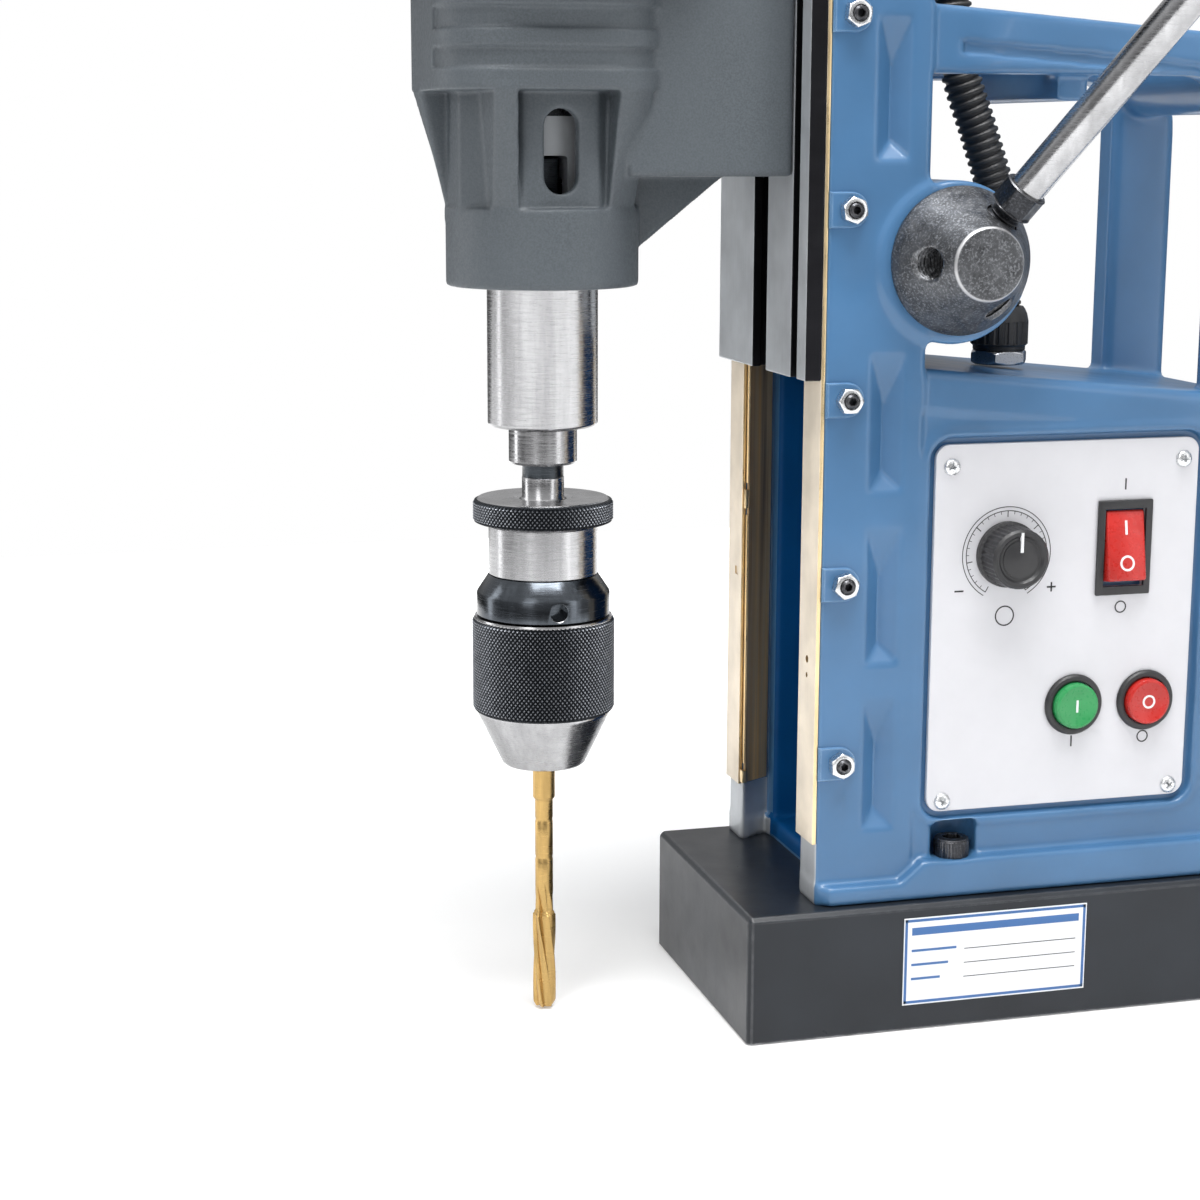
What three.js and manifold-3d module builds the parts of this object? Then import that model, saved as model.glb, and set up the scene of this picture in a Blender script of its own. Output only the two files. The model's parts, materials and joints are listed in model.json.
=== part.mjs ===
// Magnetic drill press: an electromagnet foot, a cast column with a dovetail slide, a geared drill
// motor on the slide, a rack feed with a hand lever, and a keyless chuck that holds a reamer.
// Millimetres. +X points to the rear of the machine, -Y to the side with the feed lever, +Z up.
// The origin is the centre of the magnet's underside.
import * as THREE from "three";
import { ConvexGeometry } from "three/addons/geometries/ConvexGeometry.js";
import { mergeVertices } from "three/addons/utils/BufferGeometryUtils.js";
import Module from "manifold-3d";

const wasm = await Module();
wasm.setup();

// ---------------------------------------------------------------- driving dimensions
const GAP = 0.3; // between curved or cut neighbours
const SEAT = 0.05; // between flat faces that rest on each other
const PAST = 1; // how far a cutter runs past the face it cuts

const BASE_LENGTH = 220;
const BASE_WIDTH = 110;
const BASE_HEIGHT = 46;
const COIL_X = 52; // each coil's centre, before and behind the origin
const COIL_OUTER = 44;
const COIL_INNER = 22;
const COIL_DEPTH = 32;

const RAIL_X = -82.7; // machined front plane of the column's two rails
const COLUMN_BACK = -47.1;
const COLUMN_TOP = 376;
const SIDE_NEAR = -46;
const SIDE_FAR = 50;
const MOUTH_NEAR = -29; // the dovetail groove's mouth
const MOUTH_FAR = 35;
const GROOVE_FLOOR = -71;
const FLANK_SLOPE = 7 / 11.7; // how far a flank leans out for each millimetre of depth
const CHANNEL_BACK = -51.5; // the deep channel that the rack runs in
const CHANNEL_NEAR = -31;
const CHANNEL_FAR = 37;
const CHANNEL_Y = (MOUTH_NEAR + MOUTH_FAR) / 2;

const FOOT_NEAR = -50.5;
const FOOT_FAR = 54.5;
const FOOT_LOW = 53; // top of the foot flange beside the column
const FOOT_HIGH = 60; // and beside the body
const FOOT_REAR = 100;
const FOOT_SCREW = { x: [-30.5, 84], near: -43, far: 47, seat: 59.5, head: 6.5 };

const BODY_NEAR = -45;
const BODY_FAR = 49;
const BODY_REAR = 96;
const BODY_FRONT_TOP = 232.9; // the top slopes down to the rear
const BODY_SLOPE = 0.1;
const WINDOW_TOP = 330.6;
const ARCH_TOP = 353.3;
const ARCH_SLOPE = 0.078;
const ARCH_THICK = 12;
const WINDOW_REAR = 62;
const POST_REAR = 88;

const STRIP_THICK = 1.55;
const STRIP_BOTTOM = 68;
const STRIP_TOP = 374;
const GIB_THICK = 2;
const GIB_SCREW_X = -75;
const GIB_SCREW_TOP = 349.2;
const GIB_SCREW_PITCH = 63.1;
const RECESS = { x: -60.3, half: 6, depth: 5, tops: [349.3, 238.2, 178.2, 118.9], height: 47.2 };

const PANEL = { front: -41, rear: 59, bottom: 76, top: 206.5, corner: 5 };
const DIAL = { x: -13.6, z: 167.5 };
const ROCKER = { x: 31, z: 168 };
const BUTTON_Z = 112;
const START_X = 14;
const STOP_X = 42;

const FEED_X = -36;
const FEED_Z = 269;
const BOSS_RADIUS = 28;
const RACK_MODULE = 2;
const PINION_TEETH = 18;
const PINION_RADIUS = (RACK_MODULE * PINION_TEETH) / 2;

const SLIDE_FRONT = -90.3; // front face of the carriage
const SLIDE_HALF = 46.7;
const SLIDE_BOTTOM = 229.7;
const SLIDE_TOP = 434.7;

const SPINDLE_X = -169; // the spindle's axis, ahead of the origin
const LAY_X = 37.5; // the lay shaft, behind the spindle's axis
const COLLAR_RADIUS = 32.8;
const HOUSING_BOTTOM = 260;
const COLLAR_TOP = 288;
const TAPER_TOP = 325;
const HOUSING_TOP = 396;
const MOTOR_RADIUS = 52;
const MOTOR_TOP = 512;
const CAP_TOP = 568;
const GLAND_Z = 540; // where the conduit enters the cap

const CHUCK_TOP = 187;
const SLEEVE_RADIUS = 25;
const SHANK_RADIUS = 3.95;

// ---------------------------------------------------------------- shaping helpers
// A closed geometry as a solid that can be joined and cut.
function solid(geometry) {
  const bare = new THREE.BufferGeometry();
  const flat = geometry.index ? geometry.toNonIndexed() : geometry;
  bare.setAttribute("position", flat.getAttribute("position"));
  const merged = mergeVertices(bare, 1e-4);
  return new wasm.Manifold(
    new wasm.Mesh({
      numProp: 3,
      vertProperties: merged.attributes.position.array,
      triVerts: new Uint32Array(merged.index.array),
    }),
  );
}

const join = (solids) => solids.reduce((whole, piece) => whole.add(piece));
const cut = (body, cutters) => cutters.reduce((whole, tool) => whole.subtract(tool), body);

function box(x0, x1, y0, y1, z0, z1) {
  const shape = new THREE.BoxGeometry(x1 - x0, y1 - y0, z1 - z0);
  return solid(shape.translate((x0 + x1) / 2, (y0 + y1) / 2, (z0 + z1) / 2));
}

const hull = (points) => solid(new ConvexGeometry(points.map((p) => new THREE.Vector3(...p))));

// A profile of [radius, height] pairs turned about Z; a ring's profile closes on itself.
function turnedGeometry(profile, segments = 28) {
  const points = profile.map(([r, z]) => new THREE.Vector2(r, z));
  return new THREE.LatheGeometry(points, segments).rotateX(Math.PI / 2);
}
const turned = (profile, segments) => solid(turnedGeometry(profile, segments));

const ringProfile = (inner, outer, z0, z1) => [
  [inner, z0],
  [outer, z0],
  [outer, z1],
  [inner, z1],
  [inner, z0],
];
const ring = (inner, outer, z0, z1, segments) => turned(ringProfile(inner, outer, z0, z1), segments);

// A rod, or a cone, between two points.
function rod(from, to, radius, endRadius = radius, segments = 24) {
  const start = new THREE.Vector3(...from);
  const run = new THREE.Vector3(...to).sub(start);
  const shape = new THREE.CylinderGeometry(endRadius, radius, run.length(), segments);
  shape.translate(0, run.length() / 2, 0);
  const turn = new THREE.Quaternion();
  turn.setFromUnitVectors(new THREE.Vector3(0, 1, 0), run.clone().normalize());
  return solid(shape.applyQuaternion(turn).translate(start.x, start.y, start.z));
}

const alongY = (x, z, y0, y1, radius, segments) => rod([x, y0, z], [x, y1, z], radius, radius, segments);
const alongZ = (x, y, z0, z1, radius, segments) => rod([x, y, z0], [x, y, z1], radius, radius, segments);

const outline = (points) => new THREE.Shape(points.map(([a, b]) => new THREE.Vector2(a, b)));

// A rectangle with round corners, from its low and high corners.
function roundedOutline(a0, a1, b0, b1, radius) {
  const shape = new THREE.Shape();
  shape.absarc(a1 - radius, b0 + radius, radius, -Math.PI / 2, 0);
  shape.absarc(a1 - radius, b1 - radius, radius, 0, Math.PI / 2);
  shape.absarc(a0 + radius, b1 - radius, radius, Math.PI / 2, Math.PI);
  shape.absarc(a0 + radius, b0 + radius, radius, Math.PI, 1.5 * Math.PI);
  return shape;
}

// An outline in XY raised from z0 to z1.
function raised(shape, z0, z1, curveSegments = 6) {
  const settings = { depth: z1 - z0, bevelEnabled: false, curveSegments };
  return solid(new THREE.ExtrudeGeometry(shape, settings).translate(0, 0, z0));
}

// An outline in XZ run from y0 to y1.
function sideways(shape, y0, y1, curveSegments = 6) {
  const settings = { depth: y1 - y0, bevelEnabled: false, curveSegments };
  return solid(new THREE.ExtrudeGeometry(shape, settings).rotateX(Math.PI / 2).translate(0, y1, 0));
}

// The outline of a spur gear with straight-flanked stub teeth, one tooth centred on turn.
function gearOutline(teeth, module, turn = 0) {
  const pitch = (module * teeth) / 2;
  const step = (2 * Math.PI) / teeth;
  const corners = [
    [pitch - 1.1 * module, -0.29],
    [pitch + 0.7 * module, -0.12],
    [pitch + 0.7 * module, 0.12],
    [pitch - 1.1 * module, 0.29],
  ];
  const points = [];
  for (let tooth = 0; tooth < teeth; tooth++) {
    for (const [radius, share] of corners) {
      const angle = turn + (tooth + share) * step;
      points.push([radius * Math.cos(angle), radius * Math.sin(angle)]);
    }
  }
  return outline(points);
}

function finish(color, roughness, metalness) {
  return { color, roughness, metalness };
}
const BLUE_PAINT = finish(0x4b7fae, 0.35, 0.1);
const BLACK_PAINT = finish(0x2d3036, 0.5, 0.2);
const GREY_CAST = finish(0x585e63, 0.6, 0.1);
const BLACK_STEEL = finish(0x2b2c2f, 0.45, 0.7);
const GROUND_STEEL = finish(0xbcc0c4, 0.25, 0.95);
const BRASS = finish(0xc9a25a, 0.3, 0.9);
const ZINC = finish(0xd8dadc, 0.35, 0.9);
const GOLD_COAT = finish(0xc79a45, 0.3, 0.9);
const WHITE_PLATE = finish(0xe8e8ec, 0.45, 0.1);
const BLACK_PLASTIC = finish(0x1c1c1e, 0.5, 0);
const COPPER = finish(0xb4633a, 0.4, 0.8);
const GREEN = finish(0x2f8f4a, 0.45, 0);
const RED = finish(0xb32420, 0.45, 0);
const BOARD = finish(0x1f5b3a, 0.6, 0);

// A finished piece: a solid or a closed geometry, as a named mesh.
function piece(name, shape, look) {
  let geometry = shape;
  if (!shape.isBufferGeometry) {
    const { vertProperties, triVerts } = shape.getMesh();
    geometry = new THREE.BufferGeometry();
    geometry.setAttribute("position", new THREE.BufferAttribute(vertProperties, 3));
    geometry.setIndex(new THREE.BufferAttribute(triVerts, 1));
    geometry = geometry.toNonIndexed();
  }
  geometry.computeVertexNormals();
  const mesh = new THREE.Mesh(geometry, new THREE.MeshStandardMaterial(look));
  mesh.name = name;
  return mesh;
}

const bodyTop = (x) => BODY_FRONT_TOP - BODY_SLOPE * (x - COLUMN_BACK);
const archTop = (x) => ARCH_TOP - ARCH_SLOPE * (x - COLUMN_BACK);

// ---------------------------------------------------------------- magnet
function magnetBase() {
  const chamfer = 1.6;
  const [x, y, h] = [BASE_LENGTH / 2, BASE_WIDTH / 2, BASE_HEIGHT];
  const corners = [];
  for (const i of [-1, 1]) {
    for (const j of [-1, 1]) {
      for (const z of [0, h - chamfer]) {
        corners.push([i * (x - chamfer), j * y, z], [i * x, j * (y - chamfer), z]);
      }
      corners.push([i * (x - chamfer), j * (y - chamfer), h]);
    }
  }
  const pockets = [-COIL_X, COIL_X].map((cx) =>
    solid(turnedGeometry(ringProfile(COIL_INNER, COIL_OUTER, -PAST, COIL_DEPTH)).translate(cx, 0, 0)),
  );
  const taps = footScrewPlaces().map(([sx, sy]) => alongZ(sx, sy, 34, h + PAST, 4.3, 12));
  return cut(hull(corners), [...pockets, ...taps]);
}

function coil(cx) {
  const profile = ringProfile(COIL_INNER + GAP, COIL_OUTER - GAP, 2, COIL_DEPTH - GAP);
  return turnedGeometry(profile).translate(cx, 0, 0);
}

function footScrewPlaces() {
  return FOOT_SCREW.x.flatMap((x) => [
    [x, FOOT_SCREW.near],
    [x, FOOT_SCREW.far],
  ]);
}

function footScrew([x, y]) {
  const { seat, head } = FOOT_SCREW;
  const profile = [
    [0, 36],
    [4, 36],
    [4, seat + SEAT],
    [head, seat + SEAT],
    [head, seat + 7.2],
    [head - 0.8, seat + 8],
    [3.4, seat + 8],
    [3.4, seat + 4],
    [0, seat + 4],
  ];
  return turnedGeometry(profile, 14).translate(x, y, 0);
}

// ---------------------------------------------------------------- column and body casting
// The groove and the deep channel behind it, as cutters.
function slideway() {
  const lean = (GROOVE_FLOOR - RAIL_X) * FLANK_SLOPE;
  const groove = outline([
    [RAIL_X - PAST, MOUTH_NEAR + PAST * FLANK_SLOPE],
    [RAIL_X - PAST, MOUTH_FAR - PAST * FLANK_SLOPE],
    [GROOVE_FLOOR, MOUTH_FAR + lean],
    [GROOVE_FLOOR + 1.5, MOUTH_FAR + lean],
    [GROOVE_FLOOR + 1.5, MOUTH_NEAR - lean],
    [GROOVE_FLOOR, MOUTH_NEAR - lean],
  ]);
  const channel = outline([
    [GROOVE_FLOOR + 1, CHANNEL_NEAR],
    [GROOVE_FLOOR + 1, CHANNEL_FAR],
    [CHANNEL_BACK, CHANNEL_FAR],
    [CHANNEL_BACK, CHANNEL_NEAR],
  ]);
  const ledge = BASE_HEIGHT + 4.5;
  return [raised(groove, BASE_HEIGHT - PAST, COLUMN_TOP + PAST), raised(channel, ledge, COLUMN_TOP + PAST)];
}

// A trough with sloping sides and ends, cut into a side face at y, going in along inward.
function sideRecess(top, y, inward) {
  const { x, half, depth, height } = RECESS;
  const points = [];
  for (const [out, halfWidth, inset] of [
    [-PAST, half * (1 + PAST / depth), -PAST * 1.2],
    [depth, 0.8, 6],
  ]) {
    for (const side of [-1, 1]) {
      for (const z of [top - inset, top - height + inset]) {
        points.push([x + side * halfWidth, y + inward * out, z]);
      }
    }
  }
  return hull(points);
}

// One side plate of the carrying arch, with the hand window in it.
function archPlate(y0, y1) {
  const rear = 34;
  const top = archTop(POST_REAR - rear);
  const shape = new THREE.Shape();
  shape.moveTo(COLUMN_BACK - 6, bodyTop(COLUMN_BACK) - 8);
  shape.lineTo(POST_REAR, bodyTop(POST_REAR) - 8);
  shape.lineTo(POST_REAR, top - rear);
  shape.absarc(POST_REAR - rear, top - rear, rear, 0, Math.PI / 2);
  shape.lineTo(COLUMN_BACK - 6, archTop(COLUMN_BACK - 6));
  const corner = 12;
  const window = new THREE.Path();
  window.moveTo(COLUMN_BACK, bodyTop(COLUMN_BACK));
  window.lineTo(COLUMN_BACK, WINDOW_TOP);
  window.lineTo(WINDOW_REAR - corner, WINDOW_TOP);
  window.absarc(WINDOW_REAR - corner, WINDOW_TOP - corner, corner, Math.PI / 2, 0, true);
  window.lineTo(WINDOW_REAR, bodyTop(WINDOW_REAR));
  shape.holes.push(window);
  return sideways(shape, y0, y1);
}

// The hollow electrical body behind the column.
function bodyShell() {
  const r = 14;
  const inset = 5;
  const top = bodyTop(BODY_REAR - r);
  const shell = new THREE.Shape();
  shell.moveTo(COLUMN_BACK - 3, BASE_HEIGHT + SEAT);
  shell.lineTo(BODY_REAR, BASE_HEIGHT + SEAT);
  shell.lineTo(BODY_REAR, top - r);
  shell.absarc(BODY_REAR - r, top - r, r, 0, Math.PI / 2);
  shell.lineTo(COLUMN_BACK - 3, bodyTop(COLUMN_BACK - 3));
  const hollow = outline([
    [COLUMN_BACK + inset, 52],
    [BODY_REAR - inset, 52],
    [BODY_REAR - inset, top - r - 4],
    [BODY_REAR - inset - 8, top - inset],
    [COLUMN_BACK + inset, bodyTop(COLUMN_BACK + inset) - inset - 1],
  ]);
  let space = sideways(hollow, BODY_NEAR + inset + 1, BODY_FAR - inset);
  space = cut(space, footScrewPlaces().map(([x, y]) => alongZ(x, y, 50, 76, 12, 20)));
  const farDoor = box(-36, 84, BODY_FAR - inset - PAST, BODY_FAR + PAST, 80, 200);
  const coverSeat = box(-42, 90, BODY_FAR - 2.7, BODY_FAR + PAST, 73.5, 206);
  const bezel = roundedOutline(PANEL.front - 2.5, PANEL.rear + 2.5, PANEL.bottom - 2.5, PANEL.top + 2.5, 7);
  const panelSeat = sideways(bezel, BODY_NEAR - PAST, BODY_NEAR + 3);
  const panelDoor = box(-28, 55, BODY_NEAR, BODY_NEAR + inset + 3, 90, 192);
  const wireWay = alongZ(1, 0, 205, 240, 6, 16);
  const mainsWay = rod([BODY_REAR - 12, 24, 84], [BODY_REAR + PAST, 24, 84], 6, 6, 16);
  return cut(sideways(shell, BODY_NEAR, BODY_FAR), [
    space,
    farDoor,
    coverSeat,
    panelSeat,
    panelDoor,
    wireWay,
    mainsWay,
  ]);
}

function footFlange() {
  const profile = outline([
    [RAIL_X, BASE_HEIGHT + SEAT],
    [FOOT_REAR, BASE_HEIGHT + SEAT],
    [FOOT_REAR, FOOT_HIGH],
    [-43.8, FOOT_HIGH],
    [-52.3, FOOT_LOW],
    [RAIL_X, FOOT_LOW],
  ]);
  const flange = sideways(profile, FOOT_NEAR, FOOT_FAR);
  const c = 4;
  const plan = outline([
    [RAIL_X + c, FOOT_NEAR],
    [FOOT_REAR - c, FOOT_NEAR],
    [FOOT_REAR, FOOT_NEAR + c],
    [FOOT_REAR, FOOT_FAR - c],
    [FOOT_REAR - c, FOOT_FAR],
    [RAIL_X + c, FOOT_FAR],
    [RAIL_X, FOOT_FAR - c],
    [RAIL_X, FOOT_NEAR + c],
  ]);
  const hollow = box(COLUMN_BACK + 5, BODY_REAR - 5, BODY_NEAR + 6, BODY_FAR - 5, 52, FOOT_HIGH + PAST);
  const solidBosses = footScrewPlaces().map(([x, y]) => alongZ(x, y, 50, FOOT_HIGH, 12, 20));
  return cut(flange.intersect(raised(plan, BASE_HEIGHT, FOOT_HIGH + PAST)), [cut(hollow, solidBosses)]);
}

function gibPad(z) {
  const r = 5.3;
  const shape = new THREE.Shape();
  shape.moveTo(RAIL_X, z - r);
  shape.absarc(GIB_SCREW_X, z, r, -Math.PI / 2, Math.PI / 2);
  shape.lineTo(RAIL_X, z + r);
  return sideways(shape, SIDE_NEAR - 1.2, SIDE_NEAR + PAST, 5);
}

const gibScrewHeights = () => [0, 1, 2, 3, 4].map((i) => GIB_SCREW_TOP - i * GIB_SCREW_PITCH);

function frameCasting() {
  const column = box(RAIL_X, COLUMN_BACK, SIDE_NEAR, SIDE_FAR, BASE_HEIGHT + SEAT, COLUMN_TOP);
  const bossFace = SIDE_NEAR - 1;
  const grip = alongY(75, 329, BODY_NEAR + PAST, BODY_FAR - PAST, 11, 20);
  const tie = box(1, 12, BODY_NEAR + PAST, BODY_FAR - PAST, 322, 338);
  const whole = join([
    column,
    bodyShell(),
    archPlate(BODY_NEAR, BODY_NEAR + ARCH_THICK),
    archPlate(BODY_FAR - ARCH_THICK, BODY_FAR),
    grip,
    tie,
    alongY(FEED_X, FEED_Z, bossFace, SIDE_FAR + 1, BOSS_RADIUS, 36),
    footFlange(),
    ...gibScrewHeights().map(gibPad),
  ]);
  const recesses = RECESS.tops.flatMap((top) => [
    sideRecess(top, SIDE_NEAR, 1),
    sideRecess(top, SIDE_FAR, -1),
  ]);
  const { seat, head } = FOOT_SCREW;
  const counterbores = footScrewPlaces().flatMap(([x, y]) => [
    alongZ(x, y, seat, seat + 13, head + 2, 24),
    alongZ(x, y, BASE_HEIGHT - PAST, seat + PAST, 4.5, 12),
  ]);
  return cut(whole, [
    ...slideway(),
    ...recesses,
    ...counterbores,
    ...gibScrewHeights().map((z) => alongY(GIB_SCREW_X, z, SIDE_NEAR - 3, -30, 2.75, 10)),
    alongY(FEED_X, FEED_Z, bossFace - PAST, -20, 20.3, 32),
    alongY(FEED_X, FEED_Z, -21, CHANNEL_Y + 13.5, 21, 32),
    alongY(FEED_X, FEED_Z, 0, SIDE_FAR + 3, 12.3, 24),
  ]);
}

// ---------------------------------------------------------------- slideway strips and gib screws
// A strip that lies along one flank of the groove; side is -1 near, 1 far.
function gibStrip(side) {
  const mouth = side < 0 ? MOUTH_NEAR : MOUTH_FAR;
  const stretch = Math.hypot(1, FLANK_SLOPE);
  const flankY = (x, inset) => mouth + side * ((x - RAIL_X) * FLANK_SLOPE - inset * stretch);
  const [front, back] = [RAIL_X + 0.2, GROOVE_FLOOR - 0.5];
  const corners = [
    [front, flankY(front, 0.15)],
    [back, flankY(back, 0.15)],
    [back, flankY(back, 0.15 + GIB_THICK)],
    [front, flankY(front, 0.15 + GIB_THICK)],
  ];
  return raised(outline(side < 0 ? corners.reverse() : corners), STRIP_BOTTOM + 1, STRIP_TOP);
}

function wearStrip(y0, y1) {
  const back = RAIL_X - SEAT;
  return box(back - STRIP_THICK, back, y0, y1, STRIP_BOTTOM, STRIP_TOP);
}

// A set screw with its lock nut.
function gibScrew(z) {
  const face = SIDE_NEAR - 1.2 - SEAT;
  const nut = new THREE.CylinderGeometry(4.62, 4.62, 3.9, 6).translate(0, -1.95, 0);
  nut.rotateY(0.35).translate(GIB_SCREW_X, face, z);
  const screw = alongY(GIB_SCREW_X, z, face - 4.7, -35.4, 2.4, 10);
  const socket = alongY(GIB_SCREW_X, z, face - 6, face - 2.5, 1.4, 6);
  return cut(solid(nut).add(screw), [socket]);
}

// ---------------------------------------------------------------- controls
function controlPanel() {
  const { front, rear, bottom, top, corner } = PANEL;
  const y1 = BODY_NEAR + 3 - SEAT;
  const plate = sideways(roundedOutline(front, rear, bottom, top, corner), y1 - 2, y1, 4);
  return cut(plate, [
    alongY(DIAL.x, DIAL.z, y1 - 3, y1 + 1, 4.5, 16),
    box(ROCKER.x - 8, ROCKER.x + 8, y1 - 3, y1 + 1, ROCKER.z - 14, ROCKER.z + 14),
    alongY(START_X, BUTTON_Z, y1 - 3, y1 + 1, 8.6, 20),
    alongY(STOP_X, BUTTON_Z, y1 - 3, y1 + 1, 8.6, 20),
  ]);
}

function switchBlock() {
  const y0 = BODY_NEAR + 3 + SEAT;
  const block = box(3, 53, y0, y0 + 24, 98, 186);
  return cut(block, [
    box(ROCKER.x - 8, ROCKER.x + 8, y0 - 1, y0 + 12, ROCKER.z - 14, ROCKER.z + 14),
    alongY(START_X, BUTTON_Z, y0 - 1, y0 + 6, 8.6, 20),
    alongY(STOP_X, BUTTON_Z, y0 - 1, y0 + 6, 8.6, 20),
  ]);
}

function speedSensor() {
  const y0 = BODY_NEAR + 3 + SEAT;
  const can = alongY(DIAL.x, DIAL.z, y0, y0 + 11, 10, 20);
  return cut(can, [alongY(DIAL.x, DIAL.z, y0 - 1, y0 + 8, 3.4, 12)]);
}

// The knob and its shaft, about its own axis; the pointer notch is cut in its front.
function speedKnob() {
  const face = -14.5;
  const knob = rod([0, face, 0], [0, -2.4, 0], 10.6, 11.6, 28);
  const shaft = rod([0, -3, 0], [0, 7, 0], 3.05, 3.05, 12);
  const rim = [];
  for (let i = 0; i < 12; i++) {
    const angle = (i / 12) * 2 * Math.PI;
    const [across, up] = [Math.cos(angle), Math.sin(angle)];
    rim.push(rod([12 * across, face - 1, 12 * up], [12.6 * across, -4, 12.6 * up], 1.3, 1.3, 6));
  }
  const pointer = box(-0.8, 0.8, face - 1, face + 1.2, 3, 11.5);
  return cut(knob.add(shaft), [...rim, pointer]);
}

// A rocker pressed in at its upper end, about its pivot.
function rocker() {
  const tilt = -0.17;
  const cap = new THREE.BoxGeometry(14.6, 6, 25).translate(0, -3, 0).rotateX(tilt);
  const keel = new THREE.BoxGeometry(10, 8, 8).translate(0, 3, 0).rotateX(tilt);
  return solid(cap).add(solid(keel));
}

const pushButton = () => rod([0, -6.5, 0], [0, 3, 0], 8.2, 8.2, 24);

function controllerBoard() {
  const board = box(-34, 84, 12, 13.8, 78, 190);
  const parts = [
    box(-24, 10, 0, 12.5, 90, 112),
    box(20, 50, 4, 12.5, 96, 140),
    alongY(66, 120, -8, 12.5, 9, 14),
    alongY(66, 146, -8, 12.5, 9, 14),
    box(-24, 8, 6, 12.5, 150, 172),
    box(24, 60, 2, 12.5, 164, 180),
  ];
  return join([board, ...parts]);
}

function farCover() {
  const seat = BODY_FAR - 2.7;
  return sideways(roundedOutline(-41.5, 89.5, 74, 205.5, 2), seat + SEAT, BODY_FAR, 3);
}

// A cable gland along Z from its seat: locking nut, body and dome, bored for its cable.
function glandGeometry(bore) {
  const profile = [
    [bore, 0],
    [11, 0],
    [11, 6],
    [9.6, 6.5],
    [10.6, 8],
    [10.6, 18],
    [9, 21],
    [bore, 21],
    [bore, 0],
  ];
  return turnedGeometry(profile, 16);
}

// ---------------------------------------------------------------- conduit
const CONDUIT_RADIUS = 6.6;
const CONDUIT_POINTS = [
  [1, 0, 238],
  [1, 0, 258],
  [4, 0, 284],
  [-4, 0, 310],
  [-15, 0, 333],
  [-22, 0, 362],
  [-22, 0, 392],
  [-14, 0, 422],
  [2, 0, 450],
  [17, 0, 476],
  [23, 0, 504],
  [14, 0, 530],
  [-8, 0, 546],
  [-36, 0, 550],
  [-62, 0, 545],
  [-88, 0, GLAND_Z],
  [-104, 0, GLAND_Z],
];

function conduit() {
  const points = CONDUIT_POINTS.map((p) => new THREE.Vector3(...p));
  const path = new THREE.CatmullRomCurve3(points, false, "centripetal");
  const section = new THREE.Shape();
  section.absarc(0, 0, CONDUIT_RADIUS, 0, 2 * Math.PI);
  const settings = { steps: 28, bevelEnabled: false, curveSegments: 8, extrudePath: path };
  return solid(new THREE.ExtrudeGeometry(section, settings));
}

// ---------------------------------------------------------------- feed, about its own axis
function feedHub() {
  const face = SIDE_NEAR - 1 - GAP;
  const hub = join([
    rod([0, face, 0], [0, face - 1.6, 0], 25, 25, 36),
    rod([0, face - 1.6, 0], [0, face - 4.2, 0], 25, 23.7, 36),
    rod([0, face - 4.2, 0], [0, -72, 0], 23.7, 12, 36),
  ]);
  const holes = [Math.PI / 3, Math.PI, (5 * Math.PI) / 3].map((angle) => {
    const [out, seat] = [spokeDirection(angle), spokeSeat(angle)];
    const inner = seat.clone().addScaledVector(out, -13);
    const outer = seat.clone().addScaledVector(out, 6);
    return rod(inner.toArray(), outer.toArray(), 6, 6, 14);
  });
  return cut(hub, [...holes, rod([0, face + 1, 0], [0, -58, 0], 8 + GAP, 8 + GAP, 20)]);
}

// Spokes stand square to the hub's cone, leaning 30 degrees out of its plane.
function spokeDirection(angle) {
  const lean = Math.PI / 6;
  const out = Math.cos(lean);
  return new THREE.Vector3(out * Math.cos(angle), -Math.sin(lean), out * Math.sin(angle));
}
const spokeSeat = (angle) => new THREE.Vector3(17.8 * Math.cos(angle), -61.8, 17.8 * Math.sin(angle));

function alongSpoke(angle, from, to, radius, endRadius, segments) {
  const out = spokeDirection(angle);
  const ends = [from, to].map((d) => spokeSeat(angle).addScaledVector(out, d).toArray());
  return rod(...ends, radius, endRadius, segments);
}

const SPOKE_ANGLE = Math.PI / 3;
const SPOKE_LENGTH = 150;

function spoke() {
  return join([
    alongSpoke(SPOKE_ANGLE, -11, 4, 5.6, 5.6, 14),
    alongSpoke(SPOKE_ANGLE, 3, 12, 7.5, 7.5, 20),
    alongSpoke(SPOKE_ANGLE, 11, SPOKE_LENGTH, 6, 6, 20),
  ]);
}

function spokeKnob() {
  const grip = join([
    alongSpoke(SPOKE_ANGLE, SPOKE_LENGTH - 32, SPOKE_LENGTH - 8, 9, 15, 24),
    alongSpoke(SPOKE_ANGLE, SPOKE_LENGTH - 8.5, SPOKE_LENGTH + 6, 15, 14, 24),
    alongSpoke(SPOKE_ANGLE, SPOKE_LENGTH + 5.5, SPOKE_LENGTH + 12, 14, 8, 24),
  ]);
  return cut(grip, [alongSpoke(SPOKE_ANGLE, SPOKE_LENGTH - 34, SPOKE_LENGTH + GAP, 6 + GAP, 6 + GAP, 20)]);
}

function pinionShaft() {
  const settings = { depth: 24, bevelEnabled: false };
  const gear = new THREE.ExtrudeGeometry(gearOutline(PINION_TEETH, RACK_MODULE), settings);
  gear.rotateX(Math.PI / 2).translate(0, CHANNEL_Y + 12, 0);
  return solid(gear).add(rod([0, -57, 0], [0, SIDE_FAR + 0.5, 0], 8, 8, 24));
}

function feedBushNear() {
  return cut(rod([0, SIDE_NEAR, 0], [0, -22, 0], 20, 20, 32), [
    rod([0, SIDE_NEAR - 1, 0], [0, -20, 0], 8 + GAP, 8 + GAP, 24),
  ]);
}

function feedBushFar() {
  return cut(rod([0, CHANNEL_Y + 14, 0], [0, SIDE_FAR + 0.5, 0], 12, 12, 24), [
    rod([0, 0, 0], [0, SIDE_FAR + 2, 0], 8 + GAP, 8 + GAP, 24),
  ]);
}

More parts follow.
